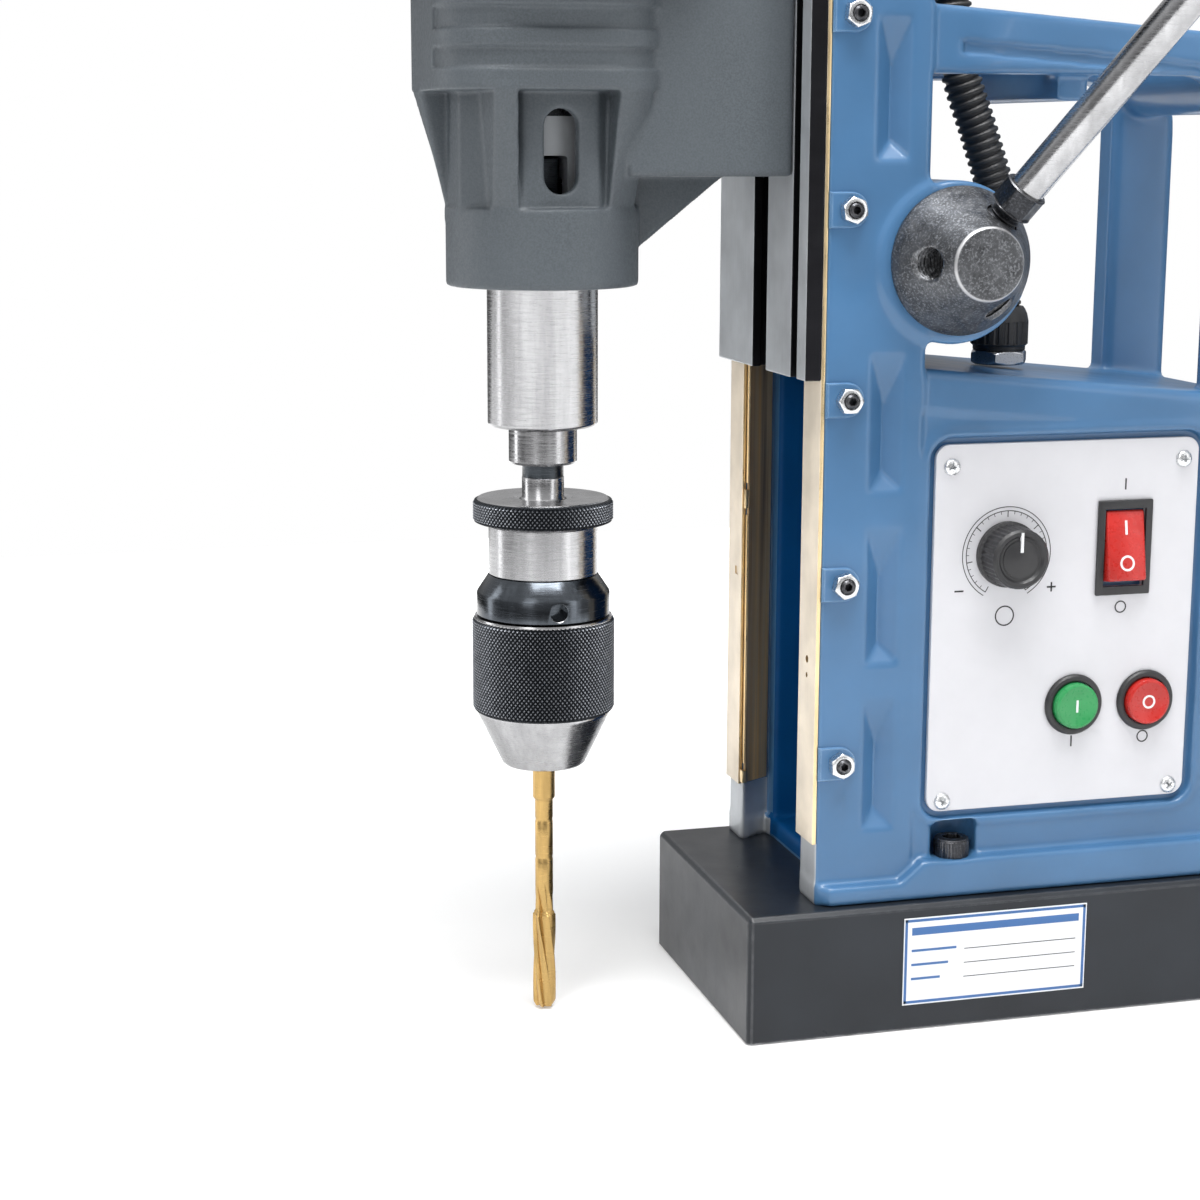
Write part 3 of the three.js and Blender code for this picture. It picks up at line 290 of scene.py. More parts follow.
def turned_steel(name, colour, roughness=0.24, axis=2, lines=0.006, tint=0.10):
    """Steel off a lathe: fine rings round the axis, and long soft streaks and broad bands of colour
    that are painted reflections.
    """
    made = material(name, colour, roughness, metallic=1.0)
    stretch = [0.04, 0.04, 0.04]
    stretch[axis] = 1.0
    rings = noise(made, 2600, 3, stretch, 0.7)
    along = [1.0, 1.0, 1.0]
    along[axis] = 0.08
    # painted reflections: streaks and broad bands of lighter and darker colour along the axis
    streaks = noise(made, 500, 4, along, 0.6)
    along[axis] = 0.03
    wide = remapped(made, noise(made, 85, 2, along), 0, 1, 0.38, 0.62)
    share = remapped(made, streaks, 0, 1)
    tone = mixed(made, share, grown(colour, 1 - tint), grown(colour, 1 + tint))
    shade = mixed(made, share, grown(colour, 0.70), grown(colour, 0.85))
    feed(made, "Base Color", mixed(made, wide, shade, tone))
    feed(made, "Roughness", remapped(made, rings, roughness - 0.07, roughness + 0.12))
    bump(made, rings, lines)
    return made


def ground_metal(name, colour, roughness=0.3, along=(1.0, 1.0, 1.0), marks=0.004, metallic=1.0):
    """Milled or ground metal with a direction in its finish."""
    made = material(name, colour, roughness, metallic=metallic)
    lines = noise(made, 1800, 4, along, 0.65)
    patches = noise(made, 60, 4)
    tone = mixed(made, remapped(made, patches, 0, 1), grown(colour, 0.86), grown(colour, 1.1))
    feed(made, "Base Color", tone)
    feed(made, "Roughness", remapped(made, lines, roughness - 0.08, roughness + 0.14))
    bump(made, lines, marks)
    return made


def black_oxide(name, colour, roughness, bright, cloud):
    """Blued steel: dark, cloudy, and rubbed bright on its edges."""
    made = material(name, colour, roughness, metallic=0.85)
    cloudy = remapped(made, noise(made, 140, 6, roughness=0.7), 0.0, 1.0, 0.35, 0.75)
    speck = remapped(made, noise(made, 1300, 3, roughness=0.6), 0.0, 1.0, 0.5, 0.66)
    tone = mixed(made, cloudy, colour, grown(colour, 1 + 4 * cloud))
    tone = mixed(made, speck, tone, grown(colour, 1 + 7 * cloud))
    feed(made, "Base Color", mixed(made, edges(made), tone, bright))
    feed(made, "Roughness", remapped(made, noise(made, 260, 5), roughness - 0.1, roughness + 0.16))
    bump(made, noise(made, 900, 3), 0.008)
    return made


def moulded(name, colour, roughness):
    """Moulded plastic with a light spark-eroded texture."""
    made = material(name, colour, roughness)
    tone = remapped(made, noise(made, 50, 3), 0.0, 1.0)
    feed(made, "Base Color", mixed(made, tone, grown(colour, 0.85), grown(colour, 1.15)))
    feed(made, "Roughness", remapped(made, noise(made, 600, 3), roughness - 0.08, roughness + 0.1))
    bump(made, noise(made, 1200, 2), 0.02)
    return made


def printed_film(name, colour, roughness=0.42):
    """Ink or film: nearly even, with slight streaks from the printing."""
    made = material(name, colour, roughness)
    tone = remapped(made, noise(made, 120, 3), 0.0, 1.0)
    feed(made, "Base Color", mixed(made, tone, grown(colour, 0.985), grown(colour, 1.015)))
    feed(made, "Roughness", remapped(made, noise(made, 500, 2), roughness - 0.03, roughness + 0.04))
    bump(made, noise(made, 900, 2), 0.003)
    return made


def knurled_steel(name, tips):
    """Blued knurling, painted dark in its valleys as shade and dirt, and light on its tips, at a
    radius from the spindle's axis, as a painted highlight and wear.
    """
    made = ground_metal(name, (0.11, 0.12, 0.13), 0.36, metallic=0.75)
    reach = off_axis(made, (*SPINDLE, 0.0), (1.0, 1.0, 0.0))
    height = remapped(made, reach, 0, 1, (tips - 0.5) * MM, tips * MM)
    tip_patches = remapped(made, noise(made, 420, 4), 0.55, 1.0)
    share = calculated(made, "MULTIPLY", height, tip_patches)
    # painted shade and dirt in the valleys, painted highlight and wear on the tips
    feed(made, "Base Color", mixed(made, share, (0.020, 0.023, 0.028), (0.44, 0.46, 0.50)))
    return made


def oiled_brass(name):
    """An oiled slideway face: brown, gold and grey lines drawn out along it."""
    made = ground_metal(name, (0.30, 0.18, 0.07), 0.36, (1.0, 1.0, 0.02), 0.01, 0.4)
    wide = remapped(made, noise(made, 170, 3, (1.0, 1.0, 0.015)), 0.0, 1.0, 0.36, 0.64)
    fine = remapped(made, noise(made, 620, 3, (1.0, 1.0, 0.02)), 0.0, 1.0, 0.35, 0.65)
    tone = mixed(made, wide, (0.16, 0.11, 0.07), (0.80, 0.50, 0.20))
    feed(made, "Base Color", mixed(made, fine, tone, (0.42, 0.31, 0.18)))
    return made


def ringed_hub():
    """The lever hub: phosphated, with a bright ring where its front face meets the cone."""
    made = black_oxide("ringed_black_oxide", (0.060, 0.062, 0.066), 0.40, (0.34, 0.34, 0.35), 0.42)
    under = made.node_tree.nodes["Principled BSDF"].inputs["Base Color"].links[0].from_socket
    front = (FEED[0], -71.8, FEED[1])
    reach = off_axis(made, front, (1.0, 0.0, 1.0))
    height = off_axis(made, front, (0.0, 1.0, 0.0))
    outer = remapped(made, reach, 1.0, 0.0, 12.2 * MM, 12.7 * MM)
    inner = remapped(made, reach, 0.0, 1.0, 11.5 * MM, 11.9 * MM)
    level = remapped(made, height, 1.0, 0.0, 0.7 * MM, 1.1 * MM)
    ring = calculated(made, "MULTIPLY", calculated(made, "MULTIPLY", outer, inner), level)
    # a bright ring painted on the chamfer between the front face and the cone
    feed(made, "Base Color", mixed(made, ring, under, (0.55, 0.55, 0.56)))
    return made


LOOKS = {
    # the blue's convex edges are lightened to a paler blue as a painted highlight
    "blue": enamel("blue_enamel", (0.055, 0.154, 0.305), coat=0.2, wear_and_highlight=(0.24, 0.38, 0.56)),
    # a darker, duller blue: painted shade for the inside of the column's deep channel
    "channel_shade_blue": enamel("channel_shade_enamel", (0.0, 0.062, 0.20), 0.5, coat=0.0, shine=0.15),
    # the magnet base's convex edges are lightened to grey: a painted highlight and wear
    "base_black": enamel(
        "base_black", (0.014, 0.017, 0.022), 0.30, 0.02, 0.3, 0.0, (0.50, 0.51, 0.53), 0.35
    ),
    "grey": powder_coat("grey_coat", (0.070, 0.082, 0.093)),
    "steel": turned_steel("turned_steel", (0.46, 0.46, 0.47), 0.22, lines=0.003),
    "dark_steel": turned_steel("dark_turned_steel", (0.055, 0.062, 0.070), 0.28),
    "knurl": knurled_steel("knurled_steel", 25.0),
    "disc_knurl": knurled_steel("knurled_disc_steel", 24.5),
    "steel_y": turned_steel("turned_steel_across", (0.60, 0.60, 0.60), axis=1),
    "black_gloss": turned_steel("polished_black_steel", (0.085, 0.095, 0.108), 0.18, tint=0.3),
    "oxide": black_oxide("black_oxide", (0.024, 0.025, 0.028), 0.32, (0.22, 0.22, 0.23), 0.25),
    "hub": ringed_hub(),
    "anodised": ground_metal("black_anodised", (0.022, 0.022, 0.025), 0.38, (0.05, 0.05, 1.0)),
    "brushed": ground_metal(
        "brushed_alloy", (0.50, 0.525, 0.55), 0.36, (1.0, 1.0, 0.03), metallic=0.45
    ),
    "brass": ground_metal("brass", (0.80, 0.62, 0.36), 0.30, (1.0, 1.0, 0.05)),
    "cream": ground_metal("wear_strip", (0.84, 0.74, 0.60), 0.42, (1.0, 1.0, 0.04), metallic=0.35),
    "gold": turned_steel("gold_coating", (0.56, 0.37, 0.14), 0.30, tint=0.18),
    "gib": oiled_brass("oiled_brass"),
    "zinc": ground_metal("zinc_plate", (0.72, 0.73, 0.74), 0.26),
    "zinc_dark": ground_metal("nickel_plate", (0.45, 0.46, 0.48), 0.3),
    "rubber": moulded("black_rubber", (0.018, 0.018, 0.019), 0.5),
    "plastic": moulded("black_plastic", (0.022, 0.022, 0.024), 0.38),
    "panel": printed_film("panel_white", (0.66, 0.66, 0.69), 0.4),
    "print": printed_film("printing_ink", (0.02, 0.02, 0.022)),
    "blue_print": printed_film("blue_ink", (0.045, 0.14, 0.36)),
    "label": printed_film("label_paper", (0.80, 0.81, 0.83), 0.32),
    "green": moulded("green_plastic", (0.03, 0.30, 0.09), 0.3),
    "red": moulded("red_plastic", (0.50, 0.02, 0.015), 0.3),
    "copper": ground_metal("copper_winding", (0.55, 0.22, 0.10), 0.4, (1.0, 1.0, 0.1)),
    "board": moulded("circuit_board", (0.02, 0.14, 0.06), 0.4),
    "lamination": ground_metal(
        "laminated_steel", (0.36, 0.36, 0.37), 0.5, (0.02, 0.02, 1.0), 0.02
    ),
}


# ------------------------------------------------------------------ mesh helpers
def publish(name, mesh, look, body, replaces=(), sharp=32.0, pick=None):
    """Turns a mesh in metres into a piece that rides on a body; pick chooses among its looks."""
    mesh.name = name
    mesh.update()
    chosen = [pick(face) if pick else face.material_index for face in mesh.polygons]
    mesh.materials.clear()
    for one in look if isinstance(look, (list, tuple)) else [look]:
        mesh.materials.append(LOOKS[one])
    mesh.polygons.foreach_set("material_index", chosen)
    mesh.shade_smooth()
    if sharp:
        mesh.set_sharp_from_angle(angle=math.radians(sharp))
    piece = bpy.data.objects.new(name, mesh)
    bpy.context.scene.collection.objects.link(piece)
    if body:
        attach(piece, body)
    if replaces:
        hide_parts(*replaces)
    return piece


def mesh_of(points, faces):
    """A mesh from points in millimetres."""
    mesh = bpy.data.meshes.new("made")
    mesh.from_pydata([tuple(c * MM for c in p) for p in points], [], [tuple(f) for f in faces])
    mesh.update()
    return mesh


def joined(*meshes):
    bm = bmesh.new()
    for mesh in meshes:
        bm.from_mesh(mesh)
    whole = bpy.data.meshes.new("joined")
    bm.to_mesh(whole)
    bm.free()
    return whole


def moved(mesh, matrix):
    """The mesh carried by a matrix whose shift is in millimetres."""
    scaled = matrix.copy()
    scaled.translation = matrix.translation * MM
    mesh.transform(scaled)
    return mesh


def printed(mesh, look):
    """The mesh with one of its piece's looks on every face."""
    mesh.polygons.foreach_set("material_index", [look] * len(mesh.polygons))
    return mesh


def upright(x, y, z=0.0):
    return Matrix.Translation((x, y, z))


def facing(place, direction):
    """A matrix that takes +Z to a direction and the origin to a place."""
    turn = Vector(direction).to_track_quat("Z", "Y").to_matrix().to_4x4()
    return Matrix.Translation(place) @ turn


def turned(profile, segments=96, radius_at=None, knurl=None):
    """A profile of (radius, height) turned about Z. It closes on the axis or on its own start.

    A knurl is (low, high, least radius, depth): its rows rise and fall in turn, so that each raised
    vertex is the point of a diamond. radius_at(radius, height, angle) shapes a row that is not a
    circle.
    """
    angles = np.arange(segments) / segments * 2 * math.pi
    points, rows = [], []
    closed = profile[0] == profile[-1]
    for k, (radius, height) in enumerate(profile[:-1] if closed else profile):
        if radius < 1e-6:
            rows.append([len(points)] * segments)
            points.append((0.0, 0.0, height))
            continue
        rows.append(list(range(len(points), len(points) + segments)))
        rough = knurl and knurl[0] <= height <= knurl[1] and radius > knurl[2]
        for i, angle in enumerate(angles):
            r = radius if radius_at is None else radius_at(radius, height, angle)
            if rough and (i + k) % 2:
                r -= knurl[3]
            points.append((r * math.cos(angle), r * math.sin(angle), height))
    if closed:
        rows.append(rows[0])
    faces = []
    for k, (low, high) in enumerate(zip(rows, rows[1:])):
        heights = [profile[k][1], profile[k + 1][1]]
        rough = knurl and knurl[0] <= min(heights) and max(heights) <= knurl[1]
        for i in range(segments):
            j = (i + 1) % segments
            ring = [low[i], low[j], high[j], high[i]]
            if rough and profile[k][0] > knurl[2]:
                cut = 0 if (i + k) % 2 else 1
                ring = ring[cut:] + ring[:cut]
                faces += [ring[:3], [ring[0], ring[2], ring[3]]]
                continue
            face = [v for n, v in enumerate(ring) if v != ring[n - 1]]
            if len(face) > 2:
                faces.append(face)
    return outward(mesh_of(points, faces))


def eased(profile, width=0.4):
    """A profile with its corners cut by short chamfers, which catch the light."""
    points = [profile[0]]
    for before, corner, after in zip(profile, profile[1:], profile[2:]):
        a, c, b = Vector(before), Vector(corner), Vector(after)
        if c.x < 1e-6:
            points.append(corner)
            continue
        reach = min(width, (a - c).length * 0.4, (b - c).length * 0.4)
        first, last = c + (a - c).normalized() * reach, c + (b - c).normalized() * reach
        middle = (first + last) / 4 + c / 2
        points += [tuple(first), tuple(middle), tuple(last)]
    return points + [profile[-1]]


def hexagon(across, angle):
    """Radius of a hexagon of a size across its flats, at an angle."""
    sixth = math.pi / 3
    return across / 2 / math.cos((angle % sixth) - sixth / 2)


def outward(mesh):
    bm = bmesh.new()
    bm.from_mesh(mesh)
    bmesh.ops.recalc_face_normals(bm, faces=bm.faces)
    bm.to_mesh(mesh)
    bm.free()
    return mesh


def block(x0, x1, y0, y1, z0, z1, bevel=0.0):
    bm = bmesh.new()
    bmesh.ops.create_cube(bm, size=1.0)
    for v in bm.verts:
        v.co = [ends[c > 0] * MM for ends, c in zip(((x0, x1), (y0, y1), (z0, z1)), v.co)]
    if bevel:
        bmesh.ops.bevel(
            bm, geom=bm.edges, offset=bevel * MM, segments=3, profile=0.5, affect="EDGES"
        )
    mesh = bpy.data.meshes.new("block")
    bm.to_mesh(mesh)
    bm.free()
    return mesh


def carved(mesh, *cutters):
    """The mesh with closed cutters taken out of it."""
    scene = bpy.context.scene.collection.objects
    body = bpy.data.objects.new("carved", mesh)
    scene.link(body)
    tools = []
    for cutter in cutters:
        tool = bpy.data.objects.new("cutter", cutter)
        scene.link(tool)
        tools.append(tool)
        change = body.modifiers.new("cut", "BOOLEAN")
        change.operation = "DIFFERENCE"
        change.solver = "EXACT"
        change.object = tool
    graph = bpy.context.evaluated_depsgraph_get()
    result = bpy.data.meshes.new_from_object(body.evaluated_get(graph))
    for one in [body, *tools]:
        bpy.data.objects.remove(one)
    return result


def dressed(node, look, body, width=0.4, angle=30.0, pick=None, segments=2):
    """A CAD node with its edges eased, as a piece that stands for it."""
    bm = bmesh.new()
    bm.from_mesh(NODES[node].data)
    bmesh.ops.remove_doubles(bm, verts=bm.verts, dist=1e-6)
    bmesh.ops.dissolve_limit(bm, angle_limit=math.radians(0.5), verts=bm.verts, edges=bm.edges)
    mesh = bpy.data.meshes.new(node)
    bm.to_mesh(mesh)
    bm.free()
    mesh.polygons.foreach_set("material_index", [0] * len(mesh.polygons))
    piece = publish(node + "_piece", mesh, look, body, (node,), angle, pick)
    if width:
        ease = piece.modifiers.new("eased", "BEVEL")
        ease.width = width * MM
        ease.segments = segments
        ease.limit_method = "ANGLE"
        ease.angle_limit = math.radians(angle)
        ease.harden_normals = True
    return piece


# ------------------------------------------------------------------ fields: shapes as distances
class Field:
    """Distances to shapes on a grid of lines, and the surface where they are zero.

    The lines must miss the shapes' flats: a distance of nought on a line has no sure sign, and the
    surface would fold there.
    """

    def __init__(self, xs, ys, zs):
        self.lines = [np.asarray(a, np.float32) for a in (xs, ys, zs)]
        self.x = self.lines[0][:, None, None]
        self.y = self.lines[1][None, :, None]
        self.z = self.lines[2][None, None, :]

    def mesh(self, field):
        shape = [len(line) for line in self.lines]
        field = np.ascontiguousarray(np.broadcast_to(field, shape), np.float32)
        inside = field < 0
        corners = [(i, j, k) for i in (0, 1) for j in (0, 1) for k in (0, 1)]
        count = np.zeros([n - 1 for n in field.shape], np.int8)
        for i, j, k in corners:
            count += inside[i : i + count.shape[0], j : j + count.shape[1], k : k + count.shape[2]]
        cells = np.argwhere((count > 0) & (count < 8))
        number = np.full(count.shape, -1, np.int32)
        number[tuple(cells.T)] = np.arange(len(cells))
        total = np.zeros((len(cells), 3))
        hits = np.zeros(len(cells))
        for axis in range(3):
            step = np.eye(3, dtype=int)[axis]
            for corner in corners:
                if corner[axis]:
                    continue
                a = cells + corner
                b = a + step
                va, vb = field[tuple(a.T)], field[tuple(b.T)]
                crossing = (va < 0) != (vb < 0)
                share = np.where(crossing, va / np.where(crossing, va - vb, 1), 0)
                for k in range(3):
                    line = self.lines[k]
                    along = line[a[:, k]] + share * (line[b[:, k]] - line[a[:, k]])
                    total[:, k] += np.where(crossing, along, 0)
                hits += crossing
        points = total / hits[:, None]
        quads = []
        for axis in range(3):
            u, v = (axis + 1) % 3, (axis + 2) % 3
            low = [slice(None)] * 3
            high = [slice(None)] * 3
            low[axis], high[axis] = slice(None, -1), slice(1, None)
            starts, ends = inside[tuple(low)], inside[tuple(high)]
            edge = np.argwhere(starts != ends)
            inner = (edge[:, u] > 0) & (edge[:, v] > 0)
            inner &= (edge[:, u] < field.shape[u] - 1) & (edge[:, v] < field.shape[v] - 1)
            edge = edge[inner]
            leaving = starts[tuple(edge.T)]
            ring = []
            for du, dv in ((0, 0), (-1, 0), (-1, -1), (0, -1)):
                cell = edge.copy()
                cell[:, u] += du
                cell[:, v] += dv
                ring.append(number[tuple(cell.T)])
            ring = np.stack(ring, 1)
            ring[~leaving] = ring[~leaving][:, ::-1]
            quads.append(ring)
        return quad_mesh(points * MM, np.concatenate(quads))


def quad_mesh(points, quads):
    mesh = bpy.data.meshes.new("field")
    mesh.vertices.add(len(points))
    mesh.vertices.foreach_set("co", points.astype(np.float32).ravel())
    mesh.loops.add(len(quads) * 4)
    mesh.loops.foreach_set("vertex_index", quads.astype(np.int32).ravel())
    mesh.polygons.add(len(quads))
    mesh.polygons.foreach_set("loop_start", np.arange(0, len(quads) * 4, 4, dtype=np.int32))
    mesh.update(calc_edges=True)
    return mesh


def spans(*stretches):
    """Grid lines over stretches of (end, step), from a first value."""
    start, *rest = stretches
    lines = [start]
    for end, step in rest:
        count = max(1, round((end - lines[-1]) / step))
        lines += list(np.linspace(lines[-1], end, count + 1)[1:])
    return np.array(lines)


def slab(a, low, high):
    return np.maximum(low - a, a - high)


def soft_min(a, b, k):
    h = np.clip(0.5 + 0.5 * (b - a) / k, 0, 1)
    return b + (a - b) * h - k * h * (1 - h)


def soft_max(a, b, k):
    return -soft_min(-a, -b, k)


def round_rect(a, b, a0, a1, b0, b1, r):
    qa = np.abs(a - (a0 + a1) / 2) - (a1 - a0) / 2 + r
    qb = np.abs(b - (b0 + b1) / 2) - (b1 - b0) / 2 + r
    return np.hypot(np.maximum(qa, 0), np.maximum(qb, 0)) + np.minimum(np.maximum(qa, qb), 0) - r


def disc(a, b, ca, cb, radius):
    return np.hypot(a - ca, b - cb) - radius


def polygon(a, b, points):
    """Distance to a closed outline in the plane of a and b."""
    nearest = np.full(np.broadcast(a, b).shape, 1e9)
    sign = np.ones_like(nearest)
    for (x0, y0), (x1, y1) in zip(points, points[-1:] + points[:-1]):
        ex, ey = x1 - x0, y1 - y0
        wx, wy = a - x0, b - y0
        t = np.clip((wx * ex + wy * ey) / (ex * ex + ey * ey), 0, 1)
        nearest = np.minimum(nearest, (wx - ex * t) ** 2 + (wy - ey * t) ** 2)
        c1, c2, c3 = b >= y0, b < y1, ex * wy > ey * wx
        flip = (c1 & c2 & c3) | (~c1 & ~c2 & ~c3)
        sign = np.where(flip, -sign, sign)
    return sign * np.sqrt(nearest)


def flattened(mesh, rule=None):
    """Merges the faces well inside each flat stretch, and keeps the small ones along its edges.

    The small faces keep the shading of an edge from spreading over the flat. A rule gives each face
    its look from the faces' centres, in millimetres, and normals.
    """
    count = len(mesh.polygons)
    normals = np.empty(count * 3, np.float32)
    mesh.polygons.foreach_get("normal", normals)
    normals = normals.reshape(-1, 3)
    if rule:
        centres = np.empty(count * 3, np.float32)
        mesh.polygons.foreach_get("center", centres)
        chosen = rule(centres.reshape(-1, 3) / MM, normals).astype(np.int32)
        mesh.polygons.foreach_set("material_index", chosen)
    corners = np.empty(len(mesh.loops), np.int32)
    mesh.loops.foreach_get("vertex_index", corners)
    faces = np.repeat(np.arange(count), 4)
    total = np.stack([np.bincount(corners, normals[faces, k]) for k in range(3)], 1)
    mean = total / np.linalg.norm(total, axis=1, keepdims=True)
    off = np.abs(mean[corners] - normals[faces]).max(1) > 2e-4
    bent = np.bincount(corners, off) > 0
    edge_face = bent[corners.reshape(-1, 4)].any(1)
    near_edge = np.bincount(corners, edge_face[faces]) > 0
    bm = bmesh.new()
    bm.from_mesh(mesh)
    bm.verts.ensure_lookup_table()
    inner = [bm.verts[i] for i in np.flatnonzero(~near_edge)]
    # in a fixed order, so that each run gives the same mesh
    edges = list(dict.fromkeys(edge for vert in inner for edge in vert.link_edges))
    bmesh.ops.dissolve_limit(
        bm, angle_limit=math.radians(0.1), verts=inner, edges=edges, delimit={"MATERIAL"}
    )
    bm.to_mesh(mesh)
    bm.free()
    return mesh


FINE = 1.0


# ------------------------------------------------------------------ column and body casting
def body_top(x):
    return 232.9 - 0.1 * (x - COLUMN_BACK)


def arch_top(x):
    return 353.3 - 0.078 * (x - COLUMN_BACK)


def arc(cx, cy, r, start, end, steps=6):
    angles = np.radians(np.linspace(start, end, steps + 1))
    return [(cx + r * math.cos(t), cy + r * math.sin(t)) for t in angles]


def casting():
    g = Field(
        spans(-86.13, (-44, 0.95 * FINE), (104, 1.75 * FINE)),
        spans(-54.37, (-38, 0.8 * FINE), (40.3, 1.9 * FINE), (58, 1.15 * FINE)),
        spans(43.6, (64, 0.95 * FINE), (380, 1.15 * FINE)),
    )
    x, y, z = g.x, g.y, g.z
    # the column's section: its outside, then the dovetail groove and the rack's channel
    plan = [(RAIL_X, NEAR), (COLUMN_BACK, NEAR), (COLUMN_BACK, FAR), (RAIL_X, FAR)]
    plan += [(RAIL_X, 35), (-71, 42), (-69.5, 42), (-69.5, 37), (-51.5, 37)]
    plan += [(-51.5, -31), (-69.5, -31), (-69.5, -36), (-71, -36), (RAIL_X, -29)]
    solid = soft_max(polygon(x, y, plan), slab(z, CAST_BOTTOM, COLUMN_TOP), 1.0)
    web = np.maximum(round_rect(x, y, -69.5, -48, -40, 46, 0.5), slab(z, CAST_BOTTOM, 50.5))
    solid = soft_min(solid, web, 0.6)

    r = 14
    top = body_top(BODY_REAR - r)
    side = [(-50, CAST_BOTTOM), (BODY_REAR, CAST_BOTTOM)]
    side += arc(BODY_REAR - r, top - r, r, 0, 90)
    side += [(-50, body_top(-50))]
    body = soft_max(polygon(x, z, side), slab(y, BODY_NEAR, BODY_FAR), 3.0)

    rear, near, far, cut = 100, -50.5, 54.5, 4
    foot_side = [(RAIL_X, CAST_BOTTOM), (rear, CAST_BOTTOM), (rear, 60)]
    foot_side += [(-43.8, 60), (-52.3, 53), (RAIL_X, 53)]
    foot_plan = [(RAIL_X + cut, near), (rear - cut, near), (rear, near + cut), (rear, far - cut)]
    foot_plan += [(rear - cut, far), (RAIL_X + cut, far), (RAIL_X, far - cut), (RAIL_X, near + cut)]
    foot = soft_max(polygon(x, z, foot_side), polygon(x, y, foot_plan), 2.0)
    inlet = np.maximum(slab(y, -31, 37), slab(x, -90, -69.5))
    foot = np.maximum(foot, -np.maximum(inlet, slab(z, 40, 70)))
    mouth = [(-90, -25), (-90, 31), (RAIL_X, 35), (-71, 42), (-71, -36), (RAIL_X, -29)]
    foot = np.maximum(foot, -polygon(x, y, mouth))

    bend = 34
    shoulder = arch_top(POST_REAR - bend)
    outer = [(-52, 200), (POST_REAR, 200)]
    outer += arc(POST_REAR - bend, shoulder - bend, bend, 0, 90, 10)
    outer += [(-52, arch_top(-52))]
    corner = 12
    hole = [(COLUMN_BACK, body_top(COLUMN_BACK) - 3), (COLUMN_BACK, WINDOW_TOP)]
    hole += arc(WINDOW_REAR - corner, WINDOW_TOP - corner, corner, 90, 0)
    hole += [(WINDOW_REAR, body_top(WINDOW_REAR) - 3)]
    frame_side = soft_max(polygon(x, z, outer), -polygon(x, z, hole), 2.0)
    frame_side = np.maximum(frame_side, body_top(x) - 14 - z)
    near_plate = soft_max(frame_side, slab(y, BODY_NEAR, BODY_NEAR + 12), 2.2)
    far_plate = soft_max(frame_side, slab(y, BODY_FAR - 12, BODY_FAR), 2.2)
    # a shallow groove along the outside of the carrying bar
    groove = np.maximum(slab(z + 0.078 * (x - COLUMN_BACK), 338.2, 342.2), -35.5 - x)
    groove = soft_max(groove, x - 52, 2.0)
    near_plate = soft_max(near_plate, -soft_max(groove, slab(y, -48, BODY_NEAR + 1.4), 0.6), 0.8)

    boss = soft_max(disc(x, z, FEED[0] - 1.0, FEED[1] - 0.7, 27.4), slab(y, -47, 51), 2.2)
    grip = np.maximum(disc(x, z, 75, 329, 11), slab(y, -40, 44))
    tie = soft_max(round_rect(x, z, 1, 12, 322, 338, 1.5), slab(y, -40, 44), 0.5)

    solid = soft_min(solid, body, 1.4)
    solid = soft_min(solid, foot, 2.2)
    solid = soft_min(solid, soft_min(near_plate, far_plate, 1.0), 2.0)
    solid = soft_min(solid, boss, 3.5)
    solid = soft_min(solid, grip, 3.0)
    solid = soft_min(solid, tie, 2.0)

    for top in RECESS_TOPS:
        across = (6.2 - np.abs(x + 60.3)) * 0.8
        down = np.minimum((top - z) * 0.30, (z - (top - 47.2)) * 0.75)
        depth = np.minimum(across, down)
        for face, inward in ((NEAR, 1), (FAR, -1)):
            trough = ((y - face) * inward - depth) * 0.8
            solid = soft_max(solid, -trough, 0.25)

    # the panel's seat with the bead round it
    gap = 2.5
    x0, x1, z0, z1 = PANEL
    seat = round_rect(x, z, x0 - gap, x1 + gap, z0 - gap, z1 + gap, 8)
    bead = soft_max(np.abs(seat - 1.6) - 1.5, slab(y, BODY_NEAR - 0.9, BODY_NEAR + 2), 1.2)
    solid = soft_min(solid, bead, 1.2)
    solid = soft_max(solid, -soft_max(seat, slab(y, -60, BODY_NEAR + 3), 0.6), 0.8)
    cover = round_rect(x, z, -42, 90, 73.5, 206, 2.5)
    solid = soft_max(solid, -soft_max(cover, slab(y, BODY_FAR - 2.7, 60), 0.6), 0.6)

    for sx, sy in FOOT_SCREWS:
        sink = np.maximum(disc(x, y, sx, sy, 8.5), slab(z, 59.5, 72.5))
        solid = soft_max(solid, -sink, 0.8)
    solid = np.maximum(solid, -np.maximum(disc(x, z, *FEED, 12.3), slab(y, 48, 60)))
    solid = np.maximum(solid, -np.maximum(disc(x, z, *FEED, 20.3), slab(y, -60, -42)))
    return flattened(g.mesh(solid), casting_look)


def casting_look(c, n):
    """The rails are bare below their strips, and the deep channel gets a darker blue, painted shade
    for its inside.
    """
    x, y, z = c.T
    channel = (x > -70.5) & (x < -50.5) & (y > -32.5) & (y < 38.5) & (z > 47) & (z < 375.5)
    bare = (x < -70.6) & (z < 68.5) & (y > -45.6) & (y < 49.6) & (np.abs(n[:, 2]) < 0.5)
    return np.where(channel, 1, np.where(bare, 2, 0))


def prism(outline, low, high, bevel):
    """A convex outline in xy raised from low to high, with its top edge cut by a bevel."""
    middle = np.mean(outline, axis=0)
    reach = np.abs(np.array(outline) - middle).max()
    inset = [tuple(middle + (np.array(p) - middle) * (1 - bevel / reach)) for p in outline]
    rings = ((outline, low), (outline, high - bevel), (inset, high))
    points = [(*p, level) for ring, level in rings for p in ring]
    count = len(outline)
    faces = [list(range(count)), [2 * count + i for i in range(count)]]
    for start in (0, count):
        for i in range(count):
            j = (i + 1) % count
            faces.append([start + i, start + j, start + count + j, start + count + i])
    return outward(mesh_of(points, faces))


